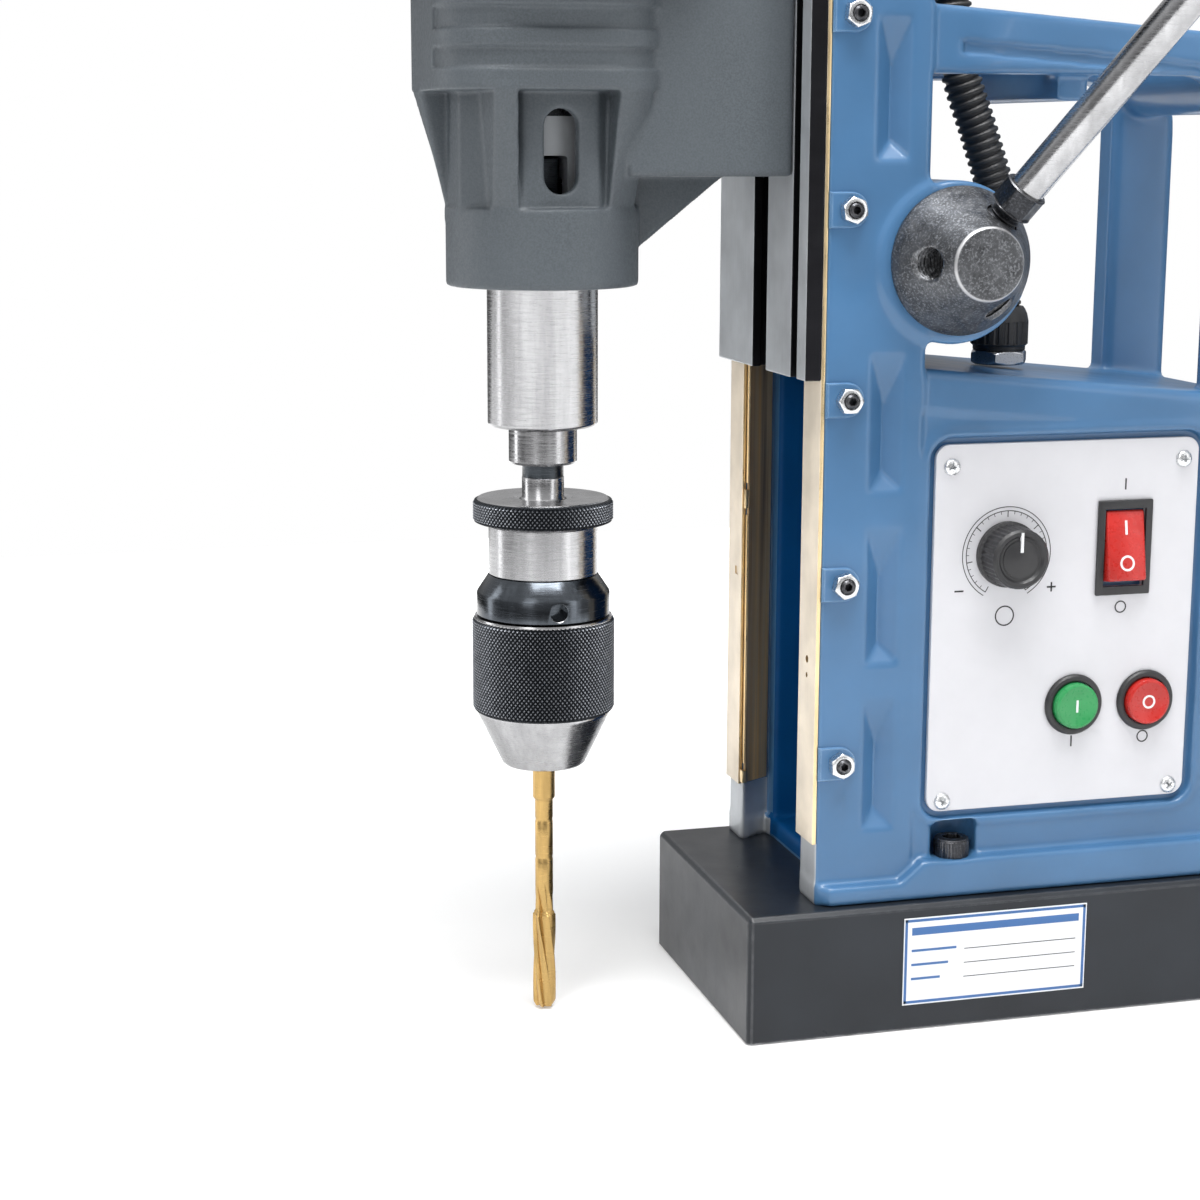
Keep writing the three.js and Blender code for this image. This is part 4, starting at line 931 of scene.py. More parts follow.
def build_pads():
    """The flats the gib screws' lock nuts sit on: square to the front, round to the rear."""
    radius, front = 6.0, RAIL_X + 75.0
    outline = [(front, -radius), *arc(0, 0, radius, -90, 90, 16), (front, radius)]
    pads = []
    for height in GIB_SCREW_HEIGHTS:
        for face, way in ((NEAR, -1), (FAR, 1)):
            stand = Matrix.Rotation(-way * math.pi / 2, 4, "X")
            pads.append(moved(prism(outline, -1.0, 1.2, 0.7), upright(-75.0, face, height) @ stand))
    publish("gib_pads", joined(*pads), "blue", "frame", (), 25)


def build_casting():
    look = ["blue", "channel_shade_blue", "brushed"]
    publish("column_casting", casting(), look, "frame", ("frame_casting",), None)
    build_pads()


# ------------------------------------------------------------------ gear housing
def gear_housing():
    g = Field(
        spans(-58.2, (80.3, 0.9 * FINE)),
        spans(-57.2, (-19.6, 0.9 * FINE), (57.3, 1.4 * FINE)),
        spans(257.3, (356, 0.8 * FINE), (399, 1.6 * FINE)),
    )
    x, y, z = g.x, g.y, g.z
    collar = soft_max(disc(x, y, 0, 0, 32.8), slab(z, 260, 286.6), 1.6)
    floor = [(-13, -29), (12, -29), (28, -15), (28, 15), (12, 29), (-13, 29), (-31, 11), (-31, -11)]
    core = np.maximum(polygon(x, y, floor), slab(z, 284, 328))
    plan = round_rect(x, y, -40.6, 37, -40, 40, 22)
    share = np.clip((z - 287) / 37, 0, 1)
    outline = (1 - share) * disc(x, y, 0, 0, 32.8) + share * plan
    taper = np.maximum(outline * 0.85, slab(z, 282, 326))
    drop = np.clip(325 - z, 0, 38)
    ribs = np.minimum(slab(x - 0.066 * drop, -24.9, -17.1), slab(x + 0.03 * drop, 16.7, 29.0))
    ribs = np.minimum(ribs, np.maximum(slab(y, 5.8, 18.0), x))
    walls = soft_max(taper, ribs, 0.9)
    upper = soft_max(plan, slab(z, 324.5, 372), 0.9)
    for low in (331.3, 343.9, 356.9):
        channel = soft_max(slab(z, low, low + 6.7), -(plan + 1.5), 0.3)
        channel = soft_max(channel, y + 16.0, 0.8)
        upper = soft_max(upper, -channel, 0.35)
    flange = soft_min(disc(x, y, 0, 0, 53.4), disc(x, y, 37.5, 0, 38), 14)
    flange = soft_max(flange, slab(z, 366, 395.9), 2.0)
    bracket = soft_max(round_rect(y, z, -32, 32, 296.8, 372, 1.5), slab(x, 22, 78.4), 1.0)
    gusset = polygon(x, z, [(8, 270), (30, 270), (64, 297), (66, 300), (8, 300)])
    gusset = soft_max(gusset, slab(y, -4, 4), 0.9)
    solid = soft_min(collar, soft_min(core, walls, 1.3), 0.9)
    solid = soft_min(solid, upper, 0.9)
    solid = soft_min(solid, flange, 8.0)
    solid = soft_min(solid, bracket, 1.4)
    solid = soft_min(solid, gusset, 1.2)
    slot = np.maximum(round_rect(x, z, -6.1, 5.3, 291.1, 318.8, 5.7), slab(y, -60, -12))
    solid = soft_max(solid, -slot, 0.8)
    bore = np.maximum(disc(x, y, 0, 0, 20.5), z - 266)
    solid = np.maximum(solid, -bore)
    inside = np.maximum(disc(x, y, 0, 0, 24), slab(z, 272, 338))
    solid = np.maximum(solid, -inside)
    return moved(flattened(g.mesh(solid)), upright(*SPINDLE))


# ------------------------------------------------------------------ foot
def build_foot():
    dressed("magnet_base", "base_black", "frame", 1.2, segments=1)
    for node in ("magnet_coil_front", "magnet_coil_rear"):
        low, high = (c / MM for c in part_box(node))
        ridge = 1.6
        profile = [(22.0, high.z), (22.0, low.z)]
        for i in range(int(22 / ridge)):
            r = 22 + i * ridge
            profile += [(r + 0.2, low.z + 0.3), (r + 0.5, low.z)]
            profile += [(r + 1.1, low.z), (r + 1.4, low.z + 0.3)]
        profile += [(44.0, low.z), (44.0, high.z), (22.0, high.z)]
        coil = moved(turned(profile, 96), upright((low.x + high.x) / 2, (low.y + high.y) / 2))
        publish(node + "_winding", coil, "copper", "frame", (node,))


def build_sticker():
    """A printed label with a border and blank lines, and no words."""
    face = -55.0
    x0, x1, z0, z1 = -52.6, 17.4, 9.3, 41.3
    parts = [printed(block(x0, x1, face - 0.12, face + 0.02, z0, z1), 0)]
    for a, b, c, d in (
        (x0 + 0.4, x1 - 0.4, z1 - 1.5, z1 - 0.5),
        (x0 + 0.4, x1 - 0.4, z0 + 0.5, z0 + 1.5),
        (x0 + 0.4, x0 + 1.4, z0 + 0.5, z1 - 0.5),
        (x1 - 1.4, x1 - 0.4, z0 + 0.5, z1 - 0.5),
        (x0 + 3.0, x1 - 3.0, z1 - 6.4, z1 - 3.6),
    ):
        parts.append(printed(block(a, b, face - 0.16, face - 0.1, c, d), 1))
    for i in range(3):
        z = z1 - 12.5 - i * 5.2
        word = block(x0 + 3.0, x0 + 20.0 - 3 * i, face - 0.15, face - 0.1, z, z + 0.9)
        line = block(x0 + 23.0, x1 - 4.0, face - 0.15, face - 0.1, z - 0.5, z - 0.2)
        parts += [printed(word, 1), printed(line, 2)]
    look = ["label", "blue_print", "print"]
    publish("foot_label", joined(*parts), look, "frame")


# ------------------------------------------------------------------ fasteners
def hex_nut(across, height, bore):
    """A chamfered nut standing on z = 0."""
    corner = across / 2 / math.cos(math.pi / 6)
    start = across / 2 * 0.95
    steps = 6
    rise = (corner - start) * 0.6
    lower = [(start + (corner - start) * i / steps, rise * i / steps) for i in range(steps + 1)]
    upper = [(r, height - h) for r, h in reversed(lower)]
    lip = 0.35
    inner = [(bore + lip, height), (bore, height - lip), (bore, lip), (bore + lip, 0.0)]
    profile = [*lower, *upper, *inner, lower[0]]
    return turned(profile, 72, lambda r, h, a: min(r, hexagon(across, a)) if r > bore + 1 else r)


def socket_screw(radius, low, top, socket, depth):
    """A set screw with a hexagon socket and a chamfered, threaded stem."""
    pitch, thread = 0.8, 0.35
    profile = [(0.0, top - depth), (socket * 0.5, top - depth), (socket * 0.5, top - 0.2)]
    profile += [(socket * 0.5 + 0.15, top), (radius - 0.55, top)]
    turns = int((top - low - 1) / pitch)
    for i in range(turns):
        h = top - 0.6 - i * pitch
        profile += [(radius, h), (radius - thread, h - pitch / 2)]
    profile += [(radius - 0.7, low), (0.0, low)]
    inner = socket * 0.56
    return turned(profile, 48, lambda r, h, a: hexagon(socket, a) if r < inner else r)


def cap_screw(radius, seat, top, low, shank, socket):
    """A cap screw with a knurled head, hexagon socket and chamfered rim."""
    depth = 0.5 * (top - seat)
    profile = [(0.0, top - depth), (socket / 2, top - depth), (socket / 2, top - 0.3)]
    profile += [(socket / 2 + 0.35, top), (radius - 1.1, top), (radius - 0.5, top - 0.25)]
    profile += [(radius - 0.1, top - 0.9), (radius, top - 1.2), (radius, seat + 0.5)]
    profile += [(radius - 0.3, seat), (shank, seat), (shank, low), (0.0, low)]

    def shape(r, h, a):
        if r <= socket / 2 + 0.01:
            return hexagon(socket, a)
        if r > radius - 0.05:
            return r - 0.16 * (math.sin(a * 36) > 0)
        return r

    return turned(profile, 144, shape)


def pan_screw(radius, height, turn):
    """A domed screw head with a cross recess, standing on z = 0."""
    rows, segments = 18, 72
    arm, reach, depth = radius * 0.13, radius * 0.58, height * 0.75
    points = [(0.0, 0.0, height - depth)]
    for k in range(1, rows + 1):
        r = radius * k / rows
        for i in range(segments):
            a = i / segments * 2 * math.pi
            x, y = r * math.cos(a), r * math.sin(a)
            z = height * math.sqrt(max(0.0, 1 - (r / radius) ** 2.6))
            across = min(abs(x), abs(y))
            if r < reach and across < arm:
                z -= depth * min(1.0, (reach - r) * 3 / radius, (arm - across) * 8 / radius)
            points.append((x, y, z))
    faces = [[0, 1 + i, 1 + (i + 1) % segments] for i in range(segments)]
    for k in range(rows - 1):
        a, b = 1 + k * segments, 1 + (k + 1) * segments
        for i in range(segments):
            j = (i + 1) % segments
            faces.append([a + i, b + i, b + j, a + j])
    last = 1 + (rows - 1) * segments
    faces.append([last + i for i in reversed(range(segments))])
    return moved(outward(mesh_of(points, faces)), Matrix.Rotation(turn, 4, "Z"))


def pan_screws(name, places, face, side, start, turn):
    """Cross-recess screws on a face; side is the way they look along y."""
    for i, (x, z) in enumerate(places):
        place = facing((x, face + side * 0.02, z), (0, side, 0))
        head = moved(pan_screw(3.1, 1.7, turn * i + start), place)
        publish(f"{name}_screw_{i + 1}", head, "zinc", "frame")


def build_fasteners():
    for i, height in enumerate(GIB_SCREW_HEIGHTS):
        node = f"gib_screw_{i + 1}"
        turn = Matrix.Rotation(0.4 + i * 0.31, 4, "Z")
        face = NEAR - 1.2
        place = facing((-75.0, face - 0.06, height), (0, -1, 0)) @ turn
        nut = moved(hex_nut(8.0, 3.9, 2.5), place)
        publish(f"lock_nut_{i + 1}", nut, "zinc", "frame", (node,))
        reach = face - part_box(node)[1].y / MM
        screw = moved(socket_screw(2.4, reach, 4.7, 2.5, 2.4), place)
        publish(f"set_screw_{i + 1}", screw, "oxide", "frame")
    for i in range(4):
        node = f"foot_screw_{i + 1}"
        low, high = (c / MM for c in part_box(node))
        seat = high.z - 8
        middle = (low + high) / 2
        screw = cap_screw(6.3, seat, high.z - 1.2, low.z, 4.0, 6.0)
        place = upright(middle.x, middle.y) @ Matrix.Rotation(0.5 + i, 4, "Z")
        publish(node + "_cap", moved(screw, place), "oxide", "frame", (node,))


# ------------------------------------------------------------------ slideway strips
def strip_look(face):
    return 0 if face.normal.x < -0.7 else 1


def build_strips():
    """The wear strips, with the pin hole and the slot that show in their fronts."""
    for side in ("near", "far"):
        node = f"wear_strip_{side}"
        low, high = (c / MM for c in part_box(node))
        inset = 0.25
        strip = block(low.x, high.x, low.y, high.y, low.z, high.z, inset)
        middle = (low.y + high.y) / 2
        if side == "near":
            cutters = []
            for radius, z in ((1.3, 132.6), (0.9, 127.0)):
                hole = turned([(0, -3), (radius, -3), (radius, 3), (0, 3)], 32)
                cutters.append(moved(hole, facing((low.x, middle, z), (1, 0, 0))))
        else:
            cutters = [block(low.x - 1, low.x + 0.5, middle - 4, middle - 0.5, 148.5, 151.5)]
        plate, look = carved(strip, *cutters), ["cream", "brass"]
        publish(node + "_plate", plate, look, "frame", (node,), 32, strip_look)
        dressed(f"gib_{side}", "gib", "frame", 0.3)
    build_gib_ridge()


def build_gib_ridge():
    """The far gib's front edge: a block at its foot, then a ridge in two lengths and a lug between.

    The ridge stays clear of the carriage's neck, and the block below the carriage's lowest bottom.
    """
    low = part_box("gib_far")[0] / MM
    block_bar, lug = (69.2, 74.0, 1.5, 1.0), (174.5, 181.5, 1.3, -0.25)
    ridges = [(76.5, 172.0, 0.5, -0.25), (184.0, 372.0, 0.5, -0.25)]
    meshes = []
    for z0, z1, proud, out in (block_bar, ridges[0], lug, ridges[1]):
        meshes.append(block(low.x - proud, low.x + 0.4, low.y - out, low.y + 1.9, z0, z1, 0.15))
    publish("gib_ridge", joined(*meshes), "brass", "frame")


# ------------------------------------------------------------------ control panel
def ring_mark(radius, width, thick, start=0.0, end=360.0, segments=96):
    """A flat printed arc that lies on z = 0."""
    count = max(2, int(segments * (end - start) / 360))
    whole = end - start >= 360
    inner, outer = radius - width / 2, radius + width / 2
    points, faces = [], []
    for i in range(count if whole else count + 1):
        a = math.radians(start + (end - start) * i / count)
        for r, h in ((inner, 0), (outer, 0), (outer, thick), (inner, thick)):
            points.append((r * math.cos(a), r * math.sin(a), h))
    sections = len(points) // 4
    for i in range(count):
        a, b = i * 4, (i + 1) % sections * 4
        for k in range(4):
            n = (k + 1) % 4
            faces.append([a + k, b + k, b + n, a + n])
    if not whole:
        faces += [[0, 1, 2, 3], [len(points) - 4 + k for k in (3, 2, 1, 0)]]
    return outward(mesh_of(points, faces))


def bar_mark(width, height, thick, x=0.0, y=0.0):
    return block(x - width / 2, x + width / 2, y - height / 2, y + height / 2, 0, thick)


def on_panel(mesh, x, z, face, turn=0.0):
    """Stands a mark drawn in its own xy plane on the near side, reading from there."""
    stand = Matrix.Rotation(math.pi / 2, 4, "X")
    return moved(mesh, Matrix.Translation((x, face, z)) @ stand @ Matrix.Rotation(turn, 4, "Z"))


def build_panel():
    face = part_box("control_panel")[0].y / MM
    dressed("control_panel", "panel", "frame", 0.35)
    x0, x1, z0, z1 = PANEL
    places = [(x, z) for x in (x0 + 5.9, x1 - 5.9) for z in (z1 - 7.8, z0 + 3.7)]
    pan_screws("panel", places, face, -1, 0.3, 0.7)

    ink = 0.06
    marks = []

    def mark(mesh, x, z, turn=0.0):
        marks.append(on_panel(mesh, x, z, face, turn))

    # the dial: two arcs with ticks between them, and the less and more signs
    x, z = DIAL
    start, end, step = -60, 240, 10
    for radius in (16.6, 15.2):
        mark(ring_mark(radius, 0.3, ink, start, end, 160), x, z)
    for i in range((end - start) // step + 1):
        length, width = (2.3, 0.32) if i % 5 == 0 else (1.2, 0.2)
        tick = bar_mark(length, width, ink, 15.3 - length / 2)
        mark(tick, x, z, math.radians(start + i * step))
    for side in (-1, 1):
        mark(bar_mark(3.4, 0.6, ink), x + side * 17.5, z - 12.5)
    mark(bar_mark(0.6, 3.4, ink), x + 17.5, z - 12.5)
    # circles and bars by the buttons and the rocker
    below = BUTTON_Z - 13.5
    for across, height, radius in ((STOP_X, below, 2.0), (ROCKER[0], 146.5, 2.0), (x, 145.5, 3.4)):
        mark(ring_mark(radius, 0.5, ink), across, height)
    mark(bar_mark(0.6, 4.0, ink), START_X, below)
    mark(bar_mark(0.6, 4.0, ink), ROCKER[0], 190.5)
    publish("panel_marks", joined(*marks), "print", "frame")

    x, z = ROCKER
    bezel = block(x - 10.5, x + 10.5, face - 1.4, face - 0.03, z - 17, z + 17, 0.6)
    opening = block(x - 7.9, x + 7.9, face - 3, face + 1, z - 13.9, z + 13.9)
    publish("rocker_bezel", carved(bezel, opening), "plastic", "frame")
    for name, x in (("start", START_X), ("stop", STOP_X)):
        collar = [(8.7, 0.03), (11.0, 0.03), (11.0, 0.9), (10.2, 1.9), (8.7, 1.9), (8.7, 0.03)]
        ring = moved(turned(eased(collar, 0.3), 72), facing((x, face, BUTTON_Z), (0, -1, 0)))
        publish(f"{name}_collar", ring, "plastic", "frame")


def build_controls():
    # the knob, with fine ribs round its skirt and a pointer line
    x, z = DIAL
    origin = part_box("speed_knob")[1].y / MM - 7.0
    profile = [(0.0, 13.6), (7.6, 13.6), (8.4, 14.5), (9.6, 14.5), (10.4, 13.7), (10.7, 12.0)]
    profile += [(10.8, 4.6), (11.6, 4.0), (11.6, 2.4), (3.05, 2.4), (3.05, -7.0), (0.0, -7.0)]
    ribs = 36

    def skirt(r, h, a):
        return r - 0.22 * (1 + math.cos(a * ribs)) if 4.5 < h < 13 and r > 10 else r

    place = facing((x, origin, z), (0, -1, 0))
    knob = printed(moved(turned(profile, ribs * 8, skirt), place), 0)
    pointer = printed(block(x - 0.5, x + 0.5, origin - 14.62, origin - 13.5, z + 2.5, z + 9.4), 1)
    button = [(0, 13.5), (6.6, 13.5), (6.6, 13.85), (6.2, 14.05), (0, 14.05)]
    cap = printed(moved(turned(button, 72), place), 0)
    knob, look = joined(knob, cap, pointer), ["plastic", "label"]
    publish("speed_knob_cap", knob, look, "speed_knob", ("speed_knob",))

    # the rocker, tilted to one side, with a bar and a ring on its two halves
    tilt = -0.17
    turn = Matrix.Translation((ROCKER[0], -41.0, ROCKER[1])) @ Matrix.Rotation(tilt, 4, "X")
    body = printed(moved(block(-7.3, 7.3, -6, 0, -12.5, 12.5, 0.9), turn), 0)
    keel = printed(moved(block(-5, 5, -1, 7, -4, 4, 0.3), turn), 0)
    stand = Matrix.Rotation(math.pi / 2, 4, "X")
    signs = []
    for mark, height in ((bar_mark(0.9, 5.0, 0.08), 6.3), (ring_mark(2.4, 0.8, 0.08), -6.3)):
        place = turn @ Matrix.Translation((0, -5.99, height)) @ stand
        signs.append(printed(moved(mark, place), 1))
    rocker, look = joined(body, keel, *signs), ["red", "label"]
    publish("rocker_cap", rocker, look, "magnet_switch", ("magnet_switch",))

    seat = -42.0
    profile = [(0.0, -3.0), (8.2, -3.0), (8.2, 5.6), (7.9, 6.2), (7.2, 6.5), (6.6, 6.35)]
    profile += [(4.0, 5.9), (0.0, 5.7)]
    for name, x, look, mark in (
        ("start_button", START_X, "green", bar_mark(0.8, 4.4, 0.5)),
        ("stop_button", STOP_X, "red", ring_mark(2.1, 0.7, 0.5)),
    ):
        cap = printed(moved(turned(profile, 72), facing((x, seat, BUTTON_Z), (0, -1, 0))), 0)
        sign = printed(on_panel(mark, x, BUTTON_Z, seat - 5.5), 1)
        look, slot = [look, "label"], look + "_plastic"
        publish(name + "_cap", joined(cap, sign), look, name, (name,))


# ------------------------------------------------------------------ glands and conduit
# x and z of the points it passes through, in the machine's middle plane
CONDUIT_ROUTE = [(1, 238), (1.5, 258), (-0.5, 284), (-9, 310), (-17.5, 333), (-22, 362), (-22, 392)]
CONDUIT_ROUTE += [(-14, 422), (2, 450), (17, 476), (23, 504), (14, 530), (-8, 546), (-36, 550)]
CONDUIT_ROUTE += [(-62, 545), (-88, 540), (-104, 540)]


def smooth_route(points, step):
    """A centripetal curve through points, resampled at an even step."""
    p = [np.array(v, float) for v in points]
    p = [2 * p[0] - p[1], *p, 2 * p[-1] - p[-2]]
    dense = []
    for a, b, c, d in zip(p, p[1:], p[2:], p[3:]):
        t1 = np.linalg.norm(b - a) ** 0.5
        t2 = t1 + np.linalg.norm(c - b) ** 0.5
        t3 = t2 + np.linalg.norm(d - c) ** 0.5
        for t in np.linspace(t1, t2, 60, endpoint=False):
            q1 = a + (b - a) * t / t1
            q2 = b + (c - b) * (t - t1) / (t2 - t1)
            q3 = c + (d - c) * (t - t2) / (t3 - t2)
            r1 = q1 + (q2 - q1) * t / t2
            r2 = q2 + (q3 - q2) * (t - t1) / (t3 - t1)
            dense.append(r1 + (r2 - r1) * (t - t1) / (t2 - t1))
    dense = np.array([*dense, p[-2]])
    along = np.concatenate([[0], np.cumsum(np.linalg.norm(np.diff(dense, axis=0), axis=1))])
    even = np.arange(0, along[-1], step)
    return np.stack([np.interp(even, along, dense[:, k]) for k in range(3)], 1)


def build_conduit():
    """A corrugated hose. Its path keeps to the machine's middle plane, so it needs no twist."""
    pitch, ridge, valley, segments = 3.05, 6.95, 5.8, 32
    per_pitch = 6
    path = smooth_route([(x, 0, z) for x, z in CONDUIT_ROUTE], pitch / per_pitch)
    waves = [valley, valley + 0.25, ridge - 0.1, ridge, ridge - 0.1, valley + 0.25]
    points = [tuple(path[0])]
    ahead = np.gradient(path, axis=0)
    for i, (centre, way) in enumerate(zip(path, ahead)):
        way = way / np.linalg.norm(way)
        side = np.array([0.0, 1.0, 0.0])
        up = np.cross(way, side)
        r = waves[i % per_pitch]
        for k in range(segments):
            a = k / segments * 2 * math.pi
            points.append(tuple(centre + r * (math.cos(a) * side + math.sin(a) * up)))
    points.append(tuple(path[-1]))
    count = len(path)
    faces = [[0, 1 + (k + 1) % segments, 1 + k] for k in range(segments)]
    for i in range(count - 1):
        a, b = 1 + i * segments, 1 + (i + 1) * segments
        for k in range(segments):
            n = (k + 1) % segments
            faces.append([a + k, a + n, b + n, b + k])
    last = 1 + (count - 1) * segments
    faces += [[len(points) - 1, last + k, last + (k + 1) % segments] for k in range(segments)]
    mesh = outward(mesh_of(points, faces))
    hose = publish("conduit_hose", mesh, "rubber", None, ("conduit",), None)
    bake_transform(hose)


def gland(bore):
    """A cable gland that stands on z = 0: lock nut, ribbed body and dome."""
    nut = printed(hex_nut(18.8, 5.2, bore + 0.1), 0)
    ribs = 18
    widest = 10.3
    profile = [(bore, 5.3), (9.4, 5.3), (9.4, 6.6), (widest, 7.4), (widest, 15.5), (9.7, 18.2)]
    profile += [(8.9, 19.9), (8.2, 20.8), (bore + 0.25, 20.9), (bore, 20.6), (bore, 5.3)]

    def grip(r, h, a):
        return r - 0.45 * (math.cos(a * ribs) > 0.2) if 7.5 < h < 15.4 and r > 10 else r

    rows = []
    for a, b in zip(profile, profile[1:]):
        rows.append(a)
        if a[0] == b[0] == widest:
            # a row close to each end of the ribs keeps the ends steep
            for u, v in ((0.98, 0.02), (0.02, 0.98)):
                rows.append((a[0] * u + b[0] * v, a[1] * u + b[1] * v))
    rows.append(profile[-1])
    body = printed(turned(rows, ribs * 8, grip), 1)
    return joined(nut, body)


def build_glands():
    base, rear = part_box("body_gland")[0].z / MM, BODY_REAR + 0.05
    motor = (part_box("motor_gland")[0].x / MM, 0, MOTOR_GLAND_Z)
    for node_name, bore, place, body in (
        ("body_gland", 7.0, upright(1, 0, base), "frame"),
        ("mains_gland", 4.0, facing((rear, 24, 84), (1, 0, 0)), "frame"),
        ("motor_gland", 7.0, facing(motor, (1, 0, 0)), "carriage"),
    ):
        mesh, look = moved(gland(bore), place), ["zinc_dark", "rubber"]
        publish(node_name + "_nut", mesh, look, body, (node_name,))


# ------------------------------------------------------------------ feed
def spoke_way(angle):
    lean = math.pi / 6
    out = math.cos(lean)
    return np.array([out * math.cos(angle), -math.sin(lean), out * math.sin(angle)])


def spoke_seat(angle):
    return np.array([17.8 * math.cos(angle), -61.8, 17.8 * math.sin(angle)])


def hub():
    """The lever hub: a cone with three sockets, the two empty ones threaded."""
    step = 0.42 * FINE
    g = Field(spans(-26, (26, step)), spans(-73.2, (-46, step)), spans(-26, (26, step)))
    x, y, z = g.x, g.y, g.z
    r = np.hypot(x, z)
    outline = [(0, -72), (11.6, -72), (12, -71.6), (23.7, -51.5)]
    outline += [(25, -48.9), (25, -47.3), (0, -47.3)]
    solid = polygon(r, y, outline)
    solid = np.maximum(solid, -np.maximum(r - 8.3, -58 - y))
    pitch = 1.75
    for angle in (math.pi / 3, math.pi, 5 * math.pi / 3):
        way, seat = spoke_way(angle), spoke_seat(angle)
        across = np.array([-math.sin(angle), 0, math.cos(angle)])
        other = np.cross(way, across)
        v = (x - seat[0], y - seat[1], z - seat[2])
        t = sum(a * b for a, b in zip(v, way))
        p = sum(a * b for a, b in zip(v, across))
        q = sum(a * b for a, b in zip(v, other))
        radius = 6.0
        if angle != math.pi / 3:
            phase = (t / pitch + np.arctan2(q, p) / (2 * math.pi)) % 1
            thread = 1.0 * np.minimum(2 * phase, 2 - 2 * phase)
            radius = 5.0 + thread + 0.9 * np.clip(t + 1.2, 0, 1.2)
        hole = np.maximum((np.hypot(p, q) - radius) * 0.8, -13 - t)
        solid = np.maximum(solid, -hole)
    return g.mesh(solid)


def build_feed():
    centre = upright(FEED[0], 0, FEED[1])
    publish("feed_hub_cone", moved(hub(), centre), "hub", "feed", ("feed_hub",), 40)
    angle = math.pi / 3
    place = centre @ facing(spoke_seat(angle), spoke_way(angle))
    thread = [(0.0, -11.0), (4.6, -11.0)]
    for i in range(7):
        thread += [(5.6, -10.2 + i * 1.75), (4.7, -9.35 + i * 1.75)]
    rod = [(6.0, 100.0), (6.0, 149.4), (5.4, 150.0), (0.0, 150.0)]
    collar = 13.0

    def flats(r, h, a):
        return min(r, hexagon(collar, a)) if r > 7 and 3.6 < h < 11.4 else r

    nut = [(5.6, 3.0), (7.1, 3.0), (7.5, 3.4), (7.5, 3.7), (7.5, 11.3), (7.5, 11.6), (7.1, 12.0)]
    rows = [*thread, *nut, (6.0, 12.0), (6.0, 13.0), *rod]
    lever = moved(turned(rows, 72, flats), place)

    def lever_look(face):
        local = place.inverted() @ (face.center / MM)
        return 0 if local.z > 12.0 else 1

    look = ["steel", "oxide"]
    publish("lever_rod", lever, look, "feed", ("spoke",), 32, lever_look)
    grip = [(6.3, 118.0), (9.0, 118.0), (9.6, 119.0)]
    for i in range(9):
        share = i / 8
        grip.append((9.8 + 5.2 * math.sin(share * math.pi / 2), 120 + 26 * share))
    grip += [(15.0, 150.0), (14.6, 154.0), (13.4, 157.5), (11.2, 160.2), (8.0, 161.8)]
    grip += [(4.0, 162.0), (0.0, 162.0), (0.0, 150.3), (6.3, 150.3), (6.3, 118.0)]
    knob = moved(turned(eased(grip, 0.5), 72), place)
    publish("lever_grip", knob, "plastic", "feed", ("spoke_knob",))
    dressed("pinion_shaft", "steel_y", "feed", 0.25)
    for node in ("feed_bush_near", "feed_bush_far"):
        dressed(node, "brass", "frame", 0.4)


# ------------------------------------------------------------------ carriage
def carriage_look(face):
    return 1 if face.normal.x < -0.9 and face.center.x / MM < -90 else 0


def build_carriage():
    dressed("carriage", ["anodised", "brushed"], "carriage", 0.5, 25, carriage_look)
    dressed("rack", "steel", "carriage", 0.2)


# ------------------------------------------------------------------ motor
def motor_shell():
    step = 1.0 * FINE
    g = Field(spans(-54.3, (54.1, step)), spans(-54.3, (54.1, step)), spans(394.4, (514.3, step)))
    x, y, z = g.x, g.y, g.z
    r = np.hypot(x, y)
    shell = soft_max(r - 52, slab(z, 396.05, 512), 1.6)
    for low in (440, 452.6, 465.2):
        band = soft_max(slab(z, low, low + 6.7), 50.9 - r, 0.5)
        band = soft_max(band, np.abs(x) * 0.5 - 18, 0.8)
        shell = soft_max(shell, -band, 0.7)
    # ten vents at the fan
    angle = np.arctan2(y, x)
    tenth = math.pi / 5
    swing = (angle % tenth) - tenth / 2
    vent = round_rect(swing * r, z, -2.5, 2.5, 400, 416, 2.0)
    shell = soft_max(shell, -np.maximum(vent, 40 - r), 0.8)
    brush = np.maximum(np.hypot(x, z - 494) - 9.0, 49.5 - np.abs(y))
    shell = soft_max(shell, -brush, 0.6)
    shell = np.maximum(shell, -np.maximum(r - 47, 402.05 - z))
    shell = np.maximum(shell, 11 - r)
    return moved(flattened(g.mesh(shell)), upright(*SPINDLE))


def cap_shell():
    step = 0.95 * FINE
    g = Field(spans(-54.3, (58.1, step)), spans(-54.3, (54.1, step)), spans(510.3, (570.2, step)))
    x, y, z = g.x, g.y, g.z
    r = np.hypot(x, y)
    rise = [(0, 512.05), (52, 512.05), (52, 552), (50.5, 558), (47, 563), (42, 566.5)]
    rise += [(36, 568), (0, 568)]
    dome = soft_max(polygon(r, z, rise), r - 52, 1.0)
    seat = soft_max(np.hypot(y, z - MOTOR_GLAND_Z) - 12, slab(x, 40, 54), 1.2)
    dome = soft_min(dome, seat, 2.5)
    ledge = soft_max(slab(z, 517.5, 519.5), 51.0 - r, 0.3)
    dome = soft_max(dome, -ledge, 0.6)
    twelfth = math.pi / 6
    swing = (np.arctan2(y, x) % twelfth) - twelfth / 2
    vent = round_rect(swing * r, z, -2.25, 2.25, 529, 543, 2.0)
    dome = soft_max(dome, -np.maximum(vent, 40 - r), 0.6)
    hollow = [(0, 500), (46, 500), (46, 553), (34, 564), (0, 564)]
    dome = np.maximum(dome, -polygon(r, z, hollow))
    wires = np.maximum(np.hypot(y, z - MOTOR_GLAND_Z) - 6, 30 - x)
    dome = np.maximum(dome, -wires)
    return moved(flattened(g.mesh(dome)), upright(*SPINDLE))


